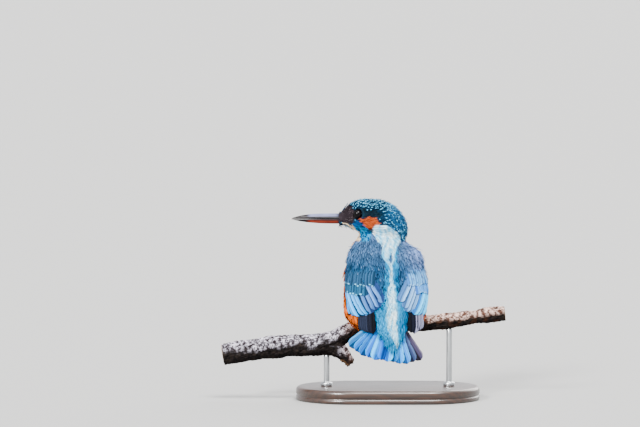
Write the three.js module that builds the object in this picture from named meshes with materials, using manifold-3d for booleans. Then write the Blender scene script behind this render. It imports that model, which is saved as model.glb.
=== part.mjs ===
// A common kingfisher (Alcedo atthis), female, life size, perched on a cut length of forked branch.
// The bird sits with its back to -Y and its head turned over its left shoulder, so the bill points to -X.
// The branch is carried by two short rods on a flat oval base whose underside is at Z = 0.
// Millimetres, +Z up, origin at the centre of the base's underside.
import * as THREE from "three";
import { mergeVertices } from "three/addons/utils/BufferGeometryUtils.js";
import Module from "manifold-3d";

const wasm = await Module();
wasm.setup();

// ---------------------------------------------------------------- driving dimensions
const GAP = 0.3; // clearance between neighbouring solids
const DEG = Math.PI / 180;

const BIRD_X = -1; // the body's axis in the part's frame
const BODY_YAW = 7 * DEG; // the body faces +Y, turned a little to its left
const HEAD_AT = new THREE.Vector3(-9.3, 8.3, 137.2); // head centre, in the body's frame
const HEAD_YAW = 165 * DEG; // the bill's direction from the body's +X

const BILL_LENGTH = 36.5; // from the feathers to the tip
const UPPER_DEPTH = 3.9; // upper mandible, at the feathers
const LOWER_DEPTH = 3.4;
const BILL_WIDTH = 7.6;
const BILL_LEVEL = -2.1; // the line between the mandibles, from the head's centre
const BILL_DROOP = 0.5; // how much lower that line is at the tip
const EYE_RADIUS = 3.4;
const EYE_AT = new THREE.Vector3(10.2, 9.3, 2.3); // in the head's frame, +X to the bill, +Y to its left

const NECK_CUT = 114; // height of the parting between trunk and neck
const WING_THICKNESS = 2.8; // from the trunk's surface to the wing's outer face
const WING_CLEARANCE = 1.05; // from the trunk's surface to the wing's inner face
const TAIL_LENGTH = 34.4; // the middle feathers, from the root
const TAIL_RIM = 5.2; // how much longer the outermost ones are, measured from the same root
const TAIL_LEAN = 17 * DEG; // from the vertical, backwards
const TAIL_SWING = -11.5 * DEG; // the fan's middle, to the bird's left
const TAIL_SPREAD = 43.5 * DEG; // from the middle to an outermost shaft
const RECTRICES = 12;
const PRIMARIES_SHOWN = 5;

const BASE_LENGTH = 138;
const BASE_WIDTH = 84;
const BASE_HEIGHT = 10;
const ROD_RADIUS = 2.2;
const ROD_X = 46; // each rod's distance from the middle
const ROD_DEPTH = 4; // how far a rod goes into the base

// ---------------------------------------------------------------- helpers
const V = (x, y, z) => new THREE.Vector3(x, y, z);
const lerp = THREE.MathUtils.lerp;
const signedPower = (value, power) => Math.sign(value) * Math.abs(value) ** power;

// Smooth values between stations. Each station is [key, ...values], in rising order of key.
function stationCurve(stations) {
  const width = stations[0].length;
  const slope = (i, k) => {
    const before = stations[Math.max(i - 1, 0)];
    const after = stations[Math.min(i + 1, stations.length - 1)];
    return (after[k] - before[k]) / (after[0] - before[0]);
  };
  return (key) => {
    const last = stations.length - 2;
    let i = 0;
    while (i < last && key > stations[i + 1][0]) i++;
    const span = stations[i + 1][0] - stations[i][0];
    const t = THREE.MathUtils.clamp((key - stations[i][0]) / span, 0, 1);
    const values = [];
    for (let k = 1; k < width; k++) {
      const start = stations[i][k];
      const end = stations[i + 1][k];
      const bend =
        t * (1 - t) * (span * ((1 - t) * slope(i, k) - t * slope(i + 1, k)) + (end - start) * (2 * t - 1));
      values.push(lerp(start, end, t) + bend);
    }
    return values;
  };
}

// A closed skin over rings of equal length, each a list of points, with a fan on each end.
function loft(rings) {
  const count = rings[0].length;
  const points = rings.flat();
  const faces = [];
  for (let r = 0; r + 1 < rings.length; r++)
    for (let k = 0; k < count; k++) {
      const a = r * count + k;
      const b = r * count + ((k + 1) % count);
      faces.push(a, b, b + count, a, b + count, a + count);
    }
  const fan = (ring, flip) => {
    const centre = ring.reduce((sum, p) => sum.add(p), V(0, 0, 0)).divideScalar(count);
    const hub = points.push(centre) - 1;
    const first = rings.indexOf(ring) * count;
    for (let k = 0; k < count; k++) {
      const a = first + k;
      const b = first + ((k + 1) % count);
      faces.push(hub, flip ? b : a, flip ? a : b);
    }
  };
  fan(rings[0], true);
  fan(rings[rings.length - 1], false);
  const geometry = new THREE.BufferGeometry().setFromPoints(points);
  geometry.setIndex(faces);
  return geometry;
}

// A closed sheet between two grids of points of equal size, its faces turned outwards from the first.
function sheet(front, back) {
  const rows = front.length;
  const columns = front[0].length;
  const faces = [];
  const at = (face, i, j) => (face * rows + i) * columns + j;
  const quad = (a, b, c, d) => faces.push(a, b, c, a, c, d);
  for (let i = 0; i + 1 < rows; i++) {
    for (let j = 0; j + 1 < columns; j++) {
      quad(at(0, i, j), at(0, i, j + 1), at(0, i + 1, j + 1), at(0, i + 1, j));
      quad(at(1, i, j), at(1, i + 1, j), at(1, i + 1, j + 1), at(1, i, j + 1));
    }
    quad(at(0, i, 0), at(0, i + 1, 0), at(1, i + 1, 0), at(1, i, 0));
    quad(at(0, i + 1, columns - 1), at(0, i, columns - 1), at(1, i, columns - 1), at(1, i + 1, columns - 1));
  }
  for (let j = 0; j + 1 < columns; j++) {
    quad(at(0, 0, j + 1), at(0, 0, j), at(1, 0, j), at(1, 0, j + 1));
    quad(at(0, rows - 1, j), at(0, rows - 1, j + 1), at(1, rows - 1, j + 1), at(1, rows - 1, j));
  }
  const geometry = new THREE.BufferGeometry().setFromPoints([...front, ...back].flat());
  geometry.setIndex(faces);
  return geometry;
}

function toSolid(geometry) {
  const bare = geometry.clone();
  for (const name of ["normal", "uv"]) bare.deleteAttribute(name);
  const merged = mergeVertices(bare, 1e-4);
  const solid = new wasm.Manifold(
    new wasm.Mesh({
      numProp: 3,
      vertProperties: new Float32Array(merged.attributes.position.array),
      triVerts: new Uint32Array(merged.index.array),
    }),
  );
  return solid;
}

function toGeometry(solid) {
  const mesh = solid.getMesh();
  return new THREE.BufferGeometry()
    .setAttribute("position", new THREE.BufferAttribute(mesh.vertProperties, 3))
    .setIndex(new THREE.BufferAttribute(mesh.triVerts, 1));
}

const cut = (solid, ...tools) => tools.reduce((left, tool) => left.subtract(tool), solid);
const join = (...solids) => solids.reduce((sum, solid) => sum.add(solid));
// The largest body of a solid, for a cut that leaves crumbs.
const mainBody = (solid) =>
  solid.decompose().reduce((best, body) => (body.volume() > best.volume() ? body : best));
const moved = (geometry, matrix) => geometry.clone().applyMatrix4(matrix);
const turned = (angle, at) => new THREE.Matrix4().makeRotationZ(angle).setPosition(at);

// A round limb along a curve: radius(t) at each step, with the given number of sides.
function limb(curve, radius, steps, sides) {
  const frames = curve.computeFrenetFrames(steps, false);
  const rings = [];
  for (let i = 0; i <= steps; i++) {
    const t = i / steps;
    const centre = curve.getPointAt(t);
    const r = radius(t);
    rings.push(
      Array.from({ length: sides }, (_, k) => {
        const angle = (k / sides) * 2 * Math.PI;
        return centre
          .clone()
          .addScaledVector(frames.normals[i], r * Math.cos(angle))
          .addScaledVector(frames.binormals[i], r * Math.sin(angle));
      }),
    );
  }
  return loft(rings);
}

// ---------------------------------------------------------------- trunk and neck
// Level slices of the body: height, half width, front, back and sideways shift of the middle.
// The flanks are fluffed out over the perch, so the body is widest low down.
const bodyAt = stationCurve([
  [54.5, 12, -12, -21, -0.5],
  [57, 23, -7, -24.6, -1],
  [60, 28.4, -3, -26.4, -1.3],
  [63, 29.8, 5, -27, -1.4],
  [66, 30.2, 12, -27.4, -1.3],
  [72, 30, 18.6, -27.2, -1.2],
  [82, 29.4, 23, -25.5, -1.1],
  [92, 28.4, 25.6, -22.8, -0.8],
  [101, 26.7, 26.8, -19.4, -0.8],
  [107, 26.2, 26.9, -16.6, -0.8],
  [112, 24.9, 26, -13.8, -1.3],
  [115, 23.3, 25, -11.6, -3],
  [118, 20.6, 24, -9.2, -3.9],
  [122, 17, 22.8, -6.6, -3.4],
  [130, 13, 20, -2, -5],
]);
const BODY_SQUARENESS = 2.3; // 2 would be an ellipse
const BODY_GIRTH = 85; // half way round the body, back to breast

// A point of the body's surface. side runs from 0 at the back to +-1 at the breast, negative to the left.
function onBody(side, height, out = 0) {
  const [halfWidth, front, back, shift] = bodyAt(height);
  const power = 2 / BODY_SQUARENESS;
  const angle = side * Math.PI;
  return V(
    shift + (halfWidth + out) * signedPower(Math.sin(angle), power),
    (front + back) / 2 - ((front - back) / 2 + out) * signedPower(Math.cos(angle), power),
    height,
  );
}

function bodySlices(from, to, steps, grow = 0) {
  const SIDES = 24;
  return Array.from({ length: steps + 1 }, (_, i) => {
    const height = lerp(from, to, i / steps);
    return Array.from({ length: SIDES }, (_, k) => onBody((2 * k) / SIDES, height, grow));
  });
}
const bodySolid = (from, to, steps, grow) => toSolid(loft(bodySlices(from, to, steps, grow)));

// ---------------------------------------------------------------- head
// Sections from nape to bill: place, top, bottom and half width, in the head's own frame.
const headAt = stationCurve([
  [-26.2, -7, -14, 3],
  [-25, -3, -17, 6.4],
  [-22, 2.4, -18, 9.6],
  [-17, 8, -17.6, 12.2],
  [-10, 11.6, -16.6, 13.9],
  [-2, 13.4, -15.6, 14.2],
  [6, 13.4, -13.8, 12.8],
  [12, 12.4, -11.4, 10.7],
  [17, 10.2, -8.8, 8],
  [21, 7.1, -7.3, 5.8],
  [24, 5.1, -6.8, 4.9],
  [26.5, 3.1, -6.5, 4.3],
]);
const HEAD_MIDDLE = -1.2; // height at which a section is widest, lower at the nape
const HEAD_FRONT = 26.5;
const HEAD_BACK = -26.2;

function headSolid(grow = 0) {
  const STEPS = 14;
  const SIDES = 16;
  const rings = Array.from({ length: STEPS + 1 }, (_, i) => {
    const place = lerp(HEAD_BACK - grow, HEAD_FRONT + grow, (1 - Math.cos((i / STEPS) * Math.PI)) / 2);
    const [top, bottom, halfWidth] = headAt(place);
    const middle = Math.min(HEAD_MIDDLE, lerp(bottom, top, 0.6));
    return Array.from({ length: SIDES }, (_, k) => {
      const angle = (k / SIDES) * 2 * Math.PI;
      const rise = Math.sin(angle);
      const reach = rise > 0 ? top - middle : middle - bottom;
      return V(
        place,
        (halfWidth + grow) * signedPower(Math.cos(angle), 0.92),
        middle + (reach + grow) * signedPower(rise, 0.92),
      );
    });
  });
  return loft(rings);
}

// One mandible: a long half dagger, from inside the feathers to the tip. up is 1 above, -1 below.
function mandible(up, grow = 0) {
  const STEPS = 11;
  const HIDDEN = 5; // length inside the feathers
  const root = HEAD_FRONT - HIDDEN - grow;
  const length = BILL_LENGTH + HIDDEN - (up > 0 ? 0 : 1.2); // the upper one is a little longer
  const half = 6; // points across the half section
  const rings = Array.from({ length: STEPS + 1 }, (_, i) => {
    const t = Math.sin((i / STEPS) * (Math.PI / 2)); // closer steps towards the tip
    const taper = Math.max(1 - t ** (up > 0 ? 3.9 : 3), 0.035);
    const width = (BILL_WIDTH / 2) * Math.max(1 - t ** 1.2, 0.06) + grow;
    const depth = (up > 0 ? UPPER_DEPTH : LOWER_DEPTH) * taper + 2 * grow;
    const flat = BILL_LEVEL - BILL_DROOP * t + up * (GAP / 2 - grow);
    const ring = Array.from({ length: half }, (_, k) => {
      const angle = (k / (half - 1)) * Math.PI;
      const rise = depth * Math.sin(angle) ** 0.9;
      return V(root + t * length, up * width * signedPower(Math.cos(angle), 1.15), flat + up * rise);
    });
    return ring;
  });
  return loft(rings);
}

const eyeBall = (side, grow = 0) =>
  new THREE.SphereGeometry(EYE_RADIUS + grow, 12, 8)
    .rotateX(-side * Math.PI / 2)
    .translate(EYE_AT.x, side * EYE_AT.y, EYE_AT.z);

// ---------------------------------------------------------------- wings
// A folded wing is a shell over the trunk, parted into its covert area and the blades of the primaries.
// across runs from the back's middle (0) to the leading edge (1), down from shoulder (0) to tips (1).
const wingEdges = stationCurve([
  // down, inner edge, leading edge
  [0, 0.07, 0.5],
  [0.15, 0.045, 0.6],
  [0.35, 0.038, 0.6],
  [0.6, 0.042, 0.53],
  [0.8, 0.06, 0.46],
  [1, 0.085, 0.4],
]);
const wingReach = stationCurve([
  // across, top, bottom
  [0, 110.5, 73.5],
  [0.25, 114.8, 68],
  [0.5, 116.6, 65.5],
  [0.75, 116, 67.5],
  [1, 112.5, 78],
]);
const WING_STEPS = 10;
const WING_EDGE_SHARE = 0.55; // thickness of the wing's edge, as a share of its middle
const WING_EDGE_RISE = 5; // how soon the thickness is full, counted in from the edge

function wingShell(side, grow = 0) {
  const surface = (out) =>
    Array.from({ length: WING_STEPS + 1 }, (_, i) =>
      Array.from({ length: WING_STEPS + 1 }, (_, j) => {
        const across = i / WING_STEPS;
        const down = j / WING_STEPS;
        const [inner, leading] = wingEdges(down);
        const [top, bottom] = wingReach(across);
        const inwards = Math.min(1, WING_EDGE_RISE * Math.min(across, 1 - across, down, 1 - down));
        const thick = WING_THICKNESS * lerp(WING_EDGE_SHARE, 1, inwards);
        const spread = grow / BODY_GIRTH;
        return onBody(
          side * lerp(inner - spread, leading + spread, across),
          lerp(top + grow, bottom - grow, down),
          out ? thick + grow : WING_CLEARANCE - grow,
        );
      }),
    );
  return side > 0 ? sheet(surface(true), surface(false)) : sheet(surface(false), surface(true));
}

// A feather blade lying in the XY plane, its shaft along -Y from the origin.
function blade(length, width, thickness) {
  const half = width / 2;
  const outline = new THREE.Shape();
  outline.moveTo(-half * 0.35, 0);
  outline.lineTo(half * 0.35, 0);
  outline.quadraticCurveTo(half * 0.95, -length * 0.3, half, -length + half);
  outline.absarc(0, -length + half, half, 0, -Math.PI, true);
  outline.quadraticCurveTo(-half * 0.95, -length * 0.3, -half * 0.35, 0);
  return new THREE.ExtrudeGeometry(outline, { depth: thickness, bevelEnabled: false, curveSegments: 3 })
    .translate(0, 0, -thickness / 2);
}

// Where the outermost and the innermost shown primary of the right wing begin and end.
const PRIMARIES = {
  outer: { root: V(21.9, -21.4, 71), tip: V(22.4, -25.4, 56) },
  inner: { root: V(14.5, -25.2, 71), tip: V(13.6, -29.6, 53.6) },
  facing: V(0.3, -1, -0.1), // out of the blades
  leftLift: 1.5, // the back bulges more on its left, so the roots there lie further out
  width: 5.6,
  thickness: 1,
};

// The primaries' tips: dark blades that show below the wing's edge and lie over the tail's root.
function primaryTips(side) {
  const mirrored = (point) => V(side * point.x, point.y, point.z);
  const blades = Array.from({ length: PRIMARIES_SHOWN }, (_, i) => {
    const share = i / (PRIMARIES_SHOWN - 1);
    const root = mirrored(PRIMARIES.outer.root.clone().lerp(PRIMARIES.inner.root, share));
    if (side < 0) root.y -= PRIMARIES.leftLift;
    const tip = mirrored(PRIMARIES.outer.tip.clone().lerp(PRIMARIES.inner.tip, share));
    const along = root.clone().sub(tip).normalize();
    const across = along.clone().cross(mirrored(PRIMARIES.facing)).normalize();
    const place = new THREE.Matrix4().makeBasis(across, along, across.clone().cross(along)).setPosition(root);
    return toSolid(moved(blade(root.distanceTo(tip), PRIMARIES.width, PRIMARIES.thickness), place));
  });
  return join(...blades);
}

// ---------------------------------------------------------------- tail
const TAIL_ROOT = V(0.5, -23.6, 65);
const TAIL_HIDDEN = 3; // length of the shafts left out at the root
const RECTRIX_WIDTH = 8;
const RECTRIX_THICKNESS = 0.9;
const RECTRIX_STACK = 2.4; // how far an outermost feather lies under the middle ones
const RECTRIX_OFFSET = 0.21; // keeps the right half's feathers off the left half's planes

// The tail's plane: +X across, +Y up the shafts, +Z out of the bird's back.
const tailPlace = () =>
  new THREE.Matrix4()
    .makeRotationX(Math.PI / 2 - TAIL_LEAN)
    .setPosition(TAIL_ROOT);

function tailFan(grow = 0) {
  const feathers = Array.from({ length: RECTRICES }, (_, i) => {
    const place = (i / (RECTRICES - 1)) * 2 - 1; // -1 outermost left, 1 outermost right
    const rim = Math.abs(place);
    const length = TAIL_LENGTH + TAIL_RIM * rim;
    const sunk = RECTRIX_STACK * rim + (place > 0 ? RECTRIX_OFFSET : 0);
    const own = new THREE.Matrix4()
      .makeRotationZ(TAIL_SWING + place * TAIL_SPREAD)
      .multiply(new THREE.Matrix4().makeTranslation(0, grow - TAIL_HIDDEN, -sunk));
    const size = [length - TAIL_HIDDEN, RECTRIX_WIDTH, RECTRIX_THICKNESS].map((value) => value + 2 * grow);
    return toSolid(moved(blade(...size), own));
  });
  // The flattened knob that carries the shafts, widening down the fan.
  const knob = new THREE.CylinderGeometry(5 + grow, 8 + grow, 12 + 2 * grow, 10)
    .scale(1, 1, 0.34)
    .translate(0, -6, -0.6);
  return moved(toGeometry(join(toSolid(knob), ...feathers)), tailPlace());
}

// A lobe of long coverts, from stations of height, back position, half width and half thickness.
function lobe(stations, steps, grow = 0) {
  const at = stationCurve(stations);
  const SIDES = 10;
  const first = stations[0][0];
  const last = stations[stations.length - 1][0];
  return loft(
    Array.from({ length: steps + 1 }, (_, i) => {
      const height = lerp(first, last, i / steps);
      const [back, halfWidth, halfThick] = at(height);
      return Array.from({ length: SIDES }, (_, k) => {
        const angle = (k / SIDES) * 2 * Math.PI;
        return V((halfWidth + grow) * Math.sin(angle), back - (halfThick + grow) * Math.cos(angle), height);
      });
    }),
  );
}
const RUMP = [
  [40.5, -33.4, 1.4, 0.6],
  [45, -32.2, 5.6, 1.7],
  [52, -30.6, 10, 2.9],
  [60, -28.8, 12.4, 3.6],
  [68, -27, 12.4, 3.6],
  [76, -25.6, 9.6, 3],
  [83, -24.4, 5, 1.8],
];
const VENT = [
  [41.5, -28.4, 2, 0.7],
  [46, -26.2, 6, 2.1],
  [52, -22.6, 9, 4],
  [58, -18.6, 11, 5.6],
];

// ---------------------------------------------------------------- perch
// The branch: a thick grey length from the left that forks; its thinner arm carries the bird.
const branchPath = new THREE.CatmullRomCurve3(
  [
    [-124, 1.5, 33.5],
    [-100, 0.5, 37.5],
    [-76, 0, 40.2],
    [-55, -0.5, 41],
    [-43, -0.4, 43],
    [-34, 0, 48.6],
    [-25, 0, 53.2],
    [-12, 0, 55.8],
    [8, 0, 56.6],
    [28, 0, 57.4],
    [52, 0.6, 59.9],
    [74, 0.8, 63.2],
    [88, 0.4, 64.8],
  ].map((p) => V(...p)),
);
// share of the length, radius
const branchRadius = stationCurve([
  [0, 8.1],
  [0.22, 8.5],
  [0.34, 8.7],
  [0.41, 7.6],
  [0.47, 6.2],
  [0.6, 5.9],
  [0.78, 6.1],
  [0.87, 5.5],
  [1, 6],
]);
const BRANCH_STEPS = 30;
const BRANCH_SIDES = 10;
// Slow swellings along the bark.
const bark = (t) => 0.28 * Math.sin(t * 41) + 0.2 * Math.sin(t * 73 + 1);

const branchTube = (grow = 0) =>
  toSolid(
    limb(branchPath, (t) => branchRadius(t)[0] + bark(t) + grow, BRANCH_STEPS, BRANCH_SIDES),
  );

// Where the thick length ends: a snapped side arm that points down and to the right.
const stubPath = new THREE.CatmullRomCurve3([
  V(-50, -0.5, 41),
  V(-40, -1.5, 39.5),
  V(-33, -2, 34),
  V(-28, -2.2, 27.8),
]);
const stubRadius = stationCurve([
  [0, 7],
  [0.4, 7],
  [0.7, 5],
  [1, 3.9],
]);
const stubTube = (grow = 0) => toSolid(limb(stubPath, (t) => stubRadius(t)[0] + grow, 6, 9));

// Height of the branch's middle and its radius at a place along X.
function branchAt(x) {
  let low = 0;
  let high = 1;
  for (let i = 0; i < 30; i++) {
    const middle = (low + high) / 2;
    if (branchPath.getPointAt(middle).x < x) low = middle;
    else high = middle;
  }
  const centre = branchPath.getPointAt(low);
  return { centre, radius: branchRadius(low)[0] + bark(low) };
}

// ---------------------------------------------------------------- legs
const LEG_X = 9.5; // each foot's distance from the body's axis
const TARSUS_RADIUS = 1.5;
const TOE_RADIUS = 1.15;
// Toes, from the inner to the outer front one, then the hind one: splay along the perch, reach round it.
const TOES = [
  { splay: -2.7, reach: 96, thick: 0.95 },
  { splay: 0, reach: 118, thick: 1 },
  { splay: 2.5, reach: 110, thick: 1 },
  { splay: 0.4, reach: -88, thick: 1 },
];
const CLAW_REACH = 26; // degrees round the perch at which a claw ends, counted from its toe's end
const TOE_LIFT = TOE_RADIUS + GAP + 0.25; // from the bark to a toe's middle
const ANKLE_ANGLE = -8; // degrees round the perch, behind its top
const TARSUS = V(0, -2.6, 6.5); // from ankle to where the leg enters the feathers

// The circle that a toe follows round the perch, at an angle from its top, forwards positive.
function roundPerch(foot, along, degrees, out) {
  const { centre, radius } = branchAt(foot.x + along);
  const far = radius + out;
  const angle = degrees * DEG;
  return V(foot.x + along, centre.y + far * Math.sin(angle), centre.z + far * Math.cos(angle));
}

// Leg parts are made in the part's frame, because they grip the perch.
function legParts(side) {
  const foot = V(BIRD_X + side * LEG_X, 0, 0);
  const ankle = roundPerch(foot, 0, ANKLE_ANGLE, TOE_LIFT);
  const shin = new THREE.LineCurve3(ankle.clone().add(TARSUS), ankle);
  const tarsus = toSolid(limb(shin, () => TARSUS_RADIUS, 2, 7));
  const toes = TOES.map(({ splay, reach, thick }) => {
    const points = Array.from({ length: 6 }, (_, i) => {
      const t = i / 5;
      return roundPerch(foot, side * splay * Math.min(1, t * 1.8), reach * t, TOE_LIFT);
    });
    const swell = (t) => TOE_RADIUS * thick * (1.12 - 0.3 * t + 0.06 * Math.cos(t * 19)); // pads and joints
    return toSolid(limb(new THREE.CatmullRomCurve3(points), swell, 5, 5));
  });
  const claws = TOES.map(({ splay, reach, thick }) => {
    const way = Math.sign(reach);
    const points = [6, 14, CLAW_REACH].map((further, i) =>
      roundPerch(foot, side * splay, reach + way * further, TOE_LIFT - 0.25 * i),
    );
    return toSolid(
      limb(new THREE.CatmullRomCurve3(points), (t) => TOE_RADIUS * thick * 0.72 * (1 - 0.82 * t), 3, 5),
    );
  });
  return { leg: join(tarsus, ...toes), claws };
}

// The hollow that the belly leaves for a foot: a collar round the perch and a sleeve round the leg.
function legRoom(side) {
  const foot = V(BIRD_X + side * LEG_X, 0, 0);
  const { centre, radius } = branchAt(foot.x);
  const outer = radius + TOE_LIFT + TOE_RADIUS * 1.3 + GAP;
  const widest = Math.max(...TOES.map(({ splay }) => Math.abs(splay)));
  const collar = new THREE.CylinderGeometry(outer, outer, 2 * (widest + TOE_RADIUS + 2 * GAP), 14)
    .rotateZ(Math.PI / 2)
    .translate(foot.x, centre.y, centre.z);
  const ankle = roundPerch(foot, 0, ANKLE_ANGLE, TOE_LIFT);
  const shin = new THREE.LineCurve3(ankle.clone().addScaledVector(TARSUS, 1.1), ankle);
  const sleeve = limb(shin, () => TARSUS_RADIUS + GAP + 0.1, 1, 8);
  return join(toSolid(collar), toSolid(sleeve));
}

// ---------------------------------------------------------------- stand
function standBase() {
  const half = BASE_LENGTH / 2 - BASE_WIDTH / 2;
  const radius = BASE_WIDTH / 2;
  const bevel = 1.5;
  const outline = new THREE.Shape();
  outline.absarc(half, 0, radius - bevel, -Math.PI / 2, Math.PI / 2, false);
  outline.absarc(-half, 0, radius - bevel, Math.PI / 2, (Math.PI * 3) / 2, false);
  return new THREE.ExtrudeGeometry(outline, {
    depth: BASE_HEIGHT - 2 * bevel,
    bevelThickness: bevel,
    bevelSize: bevel,
    bevelSegments: 1,
    curveSegments: 12,
  }).translate(0, 0, bevel);
}

// Each rod stands in a blind hole in the base and reaches up to the branch's middle.
function standRod(side, grow = 0) {
  const { centre } = branchAt(side * ROD_X);
  const foot = BASE_HEIGHT - ROD_DEPTH - grow;
  const height = centre.z - foot;
  return new THREE.CylinderGeometry(ROD_RADIUS + grow, ROD_RADIUS + grow, height, 12)
    .rotateX(Math.PI / 2)
    .translate(side * ROD_X, centre.y, foot + height / 2);
}

// ---------------------------------------------------------------- materials
const finish = (color, roughness, metalness = 0) =>
  new THREE.MeshStandardMaterial({ color, roughness, metalness });
const material = {
  rufous: finish(0xe08a45, 0.85),
  crown: finish(0x1f5f78, 0.7),
  neck: finish(0xdfeeee, 0.85),
  wing: finish(0x4f86a3, 0.65),
  primaries: finish(0x3a3c46, 0.7),
  tail: finish(0x4f9fd8, 0.6),
  turquoise: finish(0x6fd6ec, 0.6),
  billUpper: finish(0x2a2c33, 0.4),
  billLower: finish(0xcf5a3a, 0.45),
  eye: finish(0x120c0a, 0.1),
  leg: finish(0xd2542c, 0.55),
  claw: finish(0x2a1c18, 0.4),
  bark: finish(0x8d8078, 0.95),
  base: finish(0x2b2522, 0.5),
  rod: finish(0xb9b9b9, 0.35, 1),
};

// ---------------------------------------------------------------- assembly
const part = new THREE.Group();
const bird = new THREE.Group();
bird.position.x = BIRD_X;
bird.rotation.z = BODY_YAW;
const head = new THREE.Group();
head.position.copy(HEAD_AT);
head.rotation.z = HEAD_YAW;
bird.add(head);
part.add(bird);

function place(group, name, solid, look) {
  const mesh = new THREE.Mesh(toGeometry(mainBody(solid)), look);
  mesh.name = name;
  group.add(mesh);
}

// Solids from outside the bird, seen in the body's frame, and the head in it too.
const intoBody = turned(BODY_YAW, V(BIRD_X, 0, 0)).invert();
const intoHead = turned(HEAD_YAW, HEAD_AT).invert();
const seenFrom = (solid, matrix) => toSolid(moved(toGeometry(solid), matrix));
const branchForBody = seenFrom(branchTube(GAP), intoBody);
const headForBody = toSolid(moved(headSolid(GAP), turned(HEAD_YAW, HEAD_AT)));

// Tail, rump and vent fit each other from the plane of the tail outwards.
const fan = toSolid(tailFan());
const fanRoom = toSolid(tailFan(GAP));
const trunkRoom = bodySolid(54.2, 118, 17, GAP);
place(bird, "tail", cut(fan, trunkRoom), material.tail);
place(bird, "rump", cut(toSolid(lobe(RUMP, 9)), trunkRoom, fanRoom), material.turquoise);
const rumpRoom = toSolid(lobe(RUMP, 9, GAP));

// Below the parting the body is the trunk, with the vent's coverts joined to it.
const vent = cut(toSolid(lobe(VENT, 5)), fanRoom);
const trunk = join(bodySolid(54.5, NECK_CUT, 16, 0), vent);
const feetRoom = [-1, 1].map((side) => seenFrom(legRoom(side), intoBody));
place(bird, "trunk", cut(trunk, branchForBody, ...feetRoom), material.rufous);
place(bird, "neck", cut(bodySolid(NECK_CUT + GAP, 130, 5, 0), headForBody), material.neck);

for (const [name, side] of [["left", -1], ["right", 1]]) {
  const shell = toSolid(wingShell(side));
  place(bird, `wing_${name}`, cut(shell, rumpRoom, headForBody), material.wing);
  const shellRoom = toSolid(wingShell(side, GAP));
  const tips = cut(primaryTips(side), shellRoom, trunkRoom, fanRoom, rumpRoom);
  place(bird, `wing_${name}_primaries`, tips, material.primaries);
}

const billRoom = [mandible(1, GAP), mandible(-1, GAP)].map(toSolid);
const eyeRoom = [eyeBall(1, GAP), eyeBall(-1, GAP)].map(toSolid);
place(head, "head", cut(toSolid(headSolid()), ...billRoom, ...eyeRoom), material.crown);
place(head, "bill_upper", toSolid(mandible(1)), material.billUpper);
place(head, "bill_lower", toSolid(mandible(-1)), material.billLower);
place(head, "eye_left", toSolid(eyeBall(1)), material.eye);
place(head, "eye_right", toSolid(eyeBall(-1)), material.eye);

for (const [name, side] of [["left", -1], ["right", 1]]) {
  const { leg, claws } = legParts(side);
  place(part, `leg_${name}`, leg, material.leg);
  claws.forEach((claw, i) => place(part, `claw_${name}_${i + 1}`, cut(claw, leg), material.claw));
}

place(part, "perch_branch", join(branchTube(), stubTube()), material.bark);

const rodHoles = [-1, 1].map((side) => toSolid(standRod(side, GAP)));
place(part, "stand_base", cut(toSolid(standBase()), ...rodHoles), material.base);
const perchRoom = join(branchTube(GAP), stubTube(GAP));
for (const [name, side] of [["left", -1], ["right", 1]])
  place(part, `stand_rod_${name}`, cut(toSolid(standRod(side)), perchRoom), material.rod);

export default part;
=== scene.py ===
# %% [markdown]
# # A common kingfisher on its perch
# The bird sits with its back to the viewer and looks over its left shoulder. Everything is built
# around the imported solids, which are loaded first and never moved. Lengths are in metres, so the
# small sizes of a bird are written as so many MM.

# %% The frame
import math

import bmesh
import bpy
import numpy as np
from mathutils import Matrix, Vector
from mathutils.bvhtree import BVHTree
from mathutils.kdtree import KDTree


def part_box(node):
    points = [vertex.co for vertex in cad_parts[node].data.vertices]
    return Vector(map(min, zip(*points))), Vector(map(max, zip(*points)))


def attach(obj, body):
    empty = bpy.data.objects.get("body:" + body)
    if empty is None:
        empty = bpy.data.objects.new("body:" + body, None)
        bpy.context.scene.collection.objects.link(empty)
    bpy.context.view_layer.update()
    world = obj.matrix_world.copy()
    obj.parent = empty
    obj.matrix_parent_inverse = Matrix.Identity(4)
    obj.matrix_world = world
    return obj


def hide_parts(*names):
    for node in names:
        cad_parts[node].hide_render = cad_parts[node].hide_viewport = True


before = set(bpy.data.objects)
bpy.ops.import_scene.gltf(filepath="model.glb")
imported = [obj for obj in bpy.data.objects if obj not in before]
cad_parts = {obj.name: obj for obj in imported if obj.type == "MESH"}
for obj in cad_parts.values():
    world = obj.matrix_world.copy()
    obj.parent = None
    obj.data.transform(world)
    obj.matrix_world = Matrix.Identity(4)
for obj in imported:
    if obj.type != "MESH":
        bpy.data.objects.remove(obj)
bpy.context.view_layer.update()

MM = 0.001
UP = np.array([0.0, 0.0, 1.0])

# %% [markdown]
# ## Stage, camera and light
# The bird stands in soft light on a wide pale floor. A long lens from four metres away keeps the bill
# and the tail in true proportion. The lamps are wide, far sources, as they light a wide floor evenly:
# one overhead gives the soft daylight of a bird by the water, a smaller one on the viewer's side models
# the feathers and puts the light in the eye, and a third lifts the breast. The pale world fills the rest.

# %% Floor and air
FLOOR_HALF = 80.0
FLOOR_GREY, FLOOR_ROUGHNESS = (0.25, 0.25, 0.246), 0.9
AIR_COLOUR, AIR_STRENGTH = (0.93, 0.95, 1, 1), 1.5


def link(piece):
    bpy.context.scene.collection.objects.link(piece)
    return piece


def plain_shader(name, colour, roughness):
    material = bpy.data.materials.new(name)
    material.use_nodes = True
    shader = material.node_tree.nodes["Principled BSDF"]
    shader.inputs["Base Color"].default_value = (*colour, 1)
    shader.inputs["Roughness"].default_value = roughness
    return material


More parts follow.
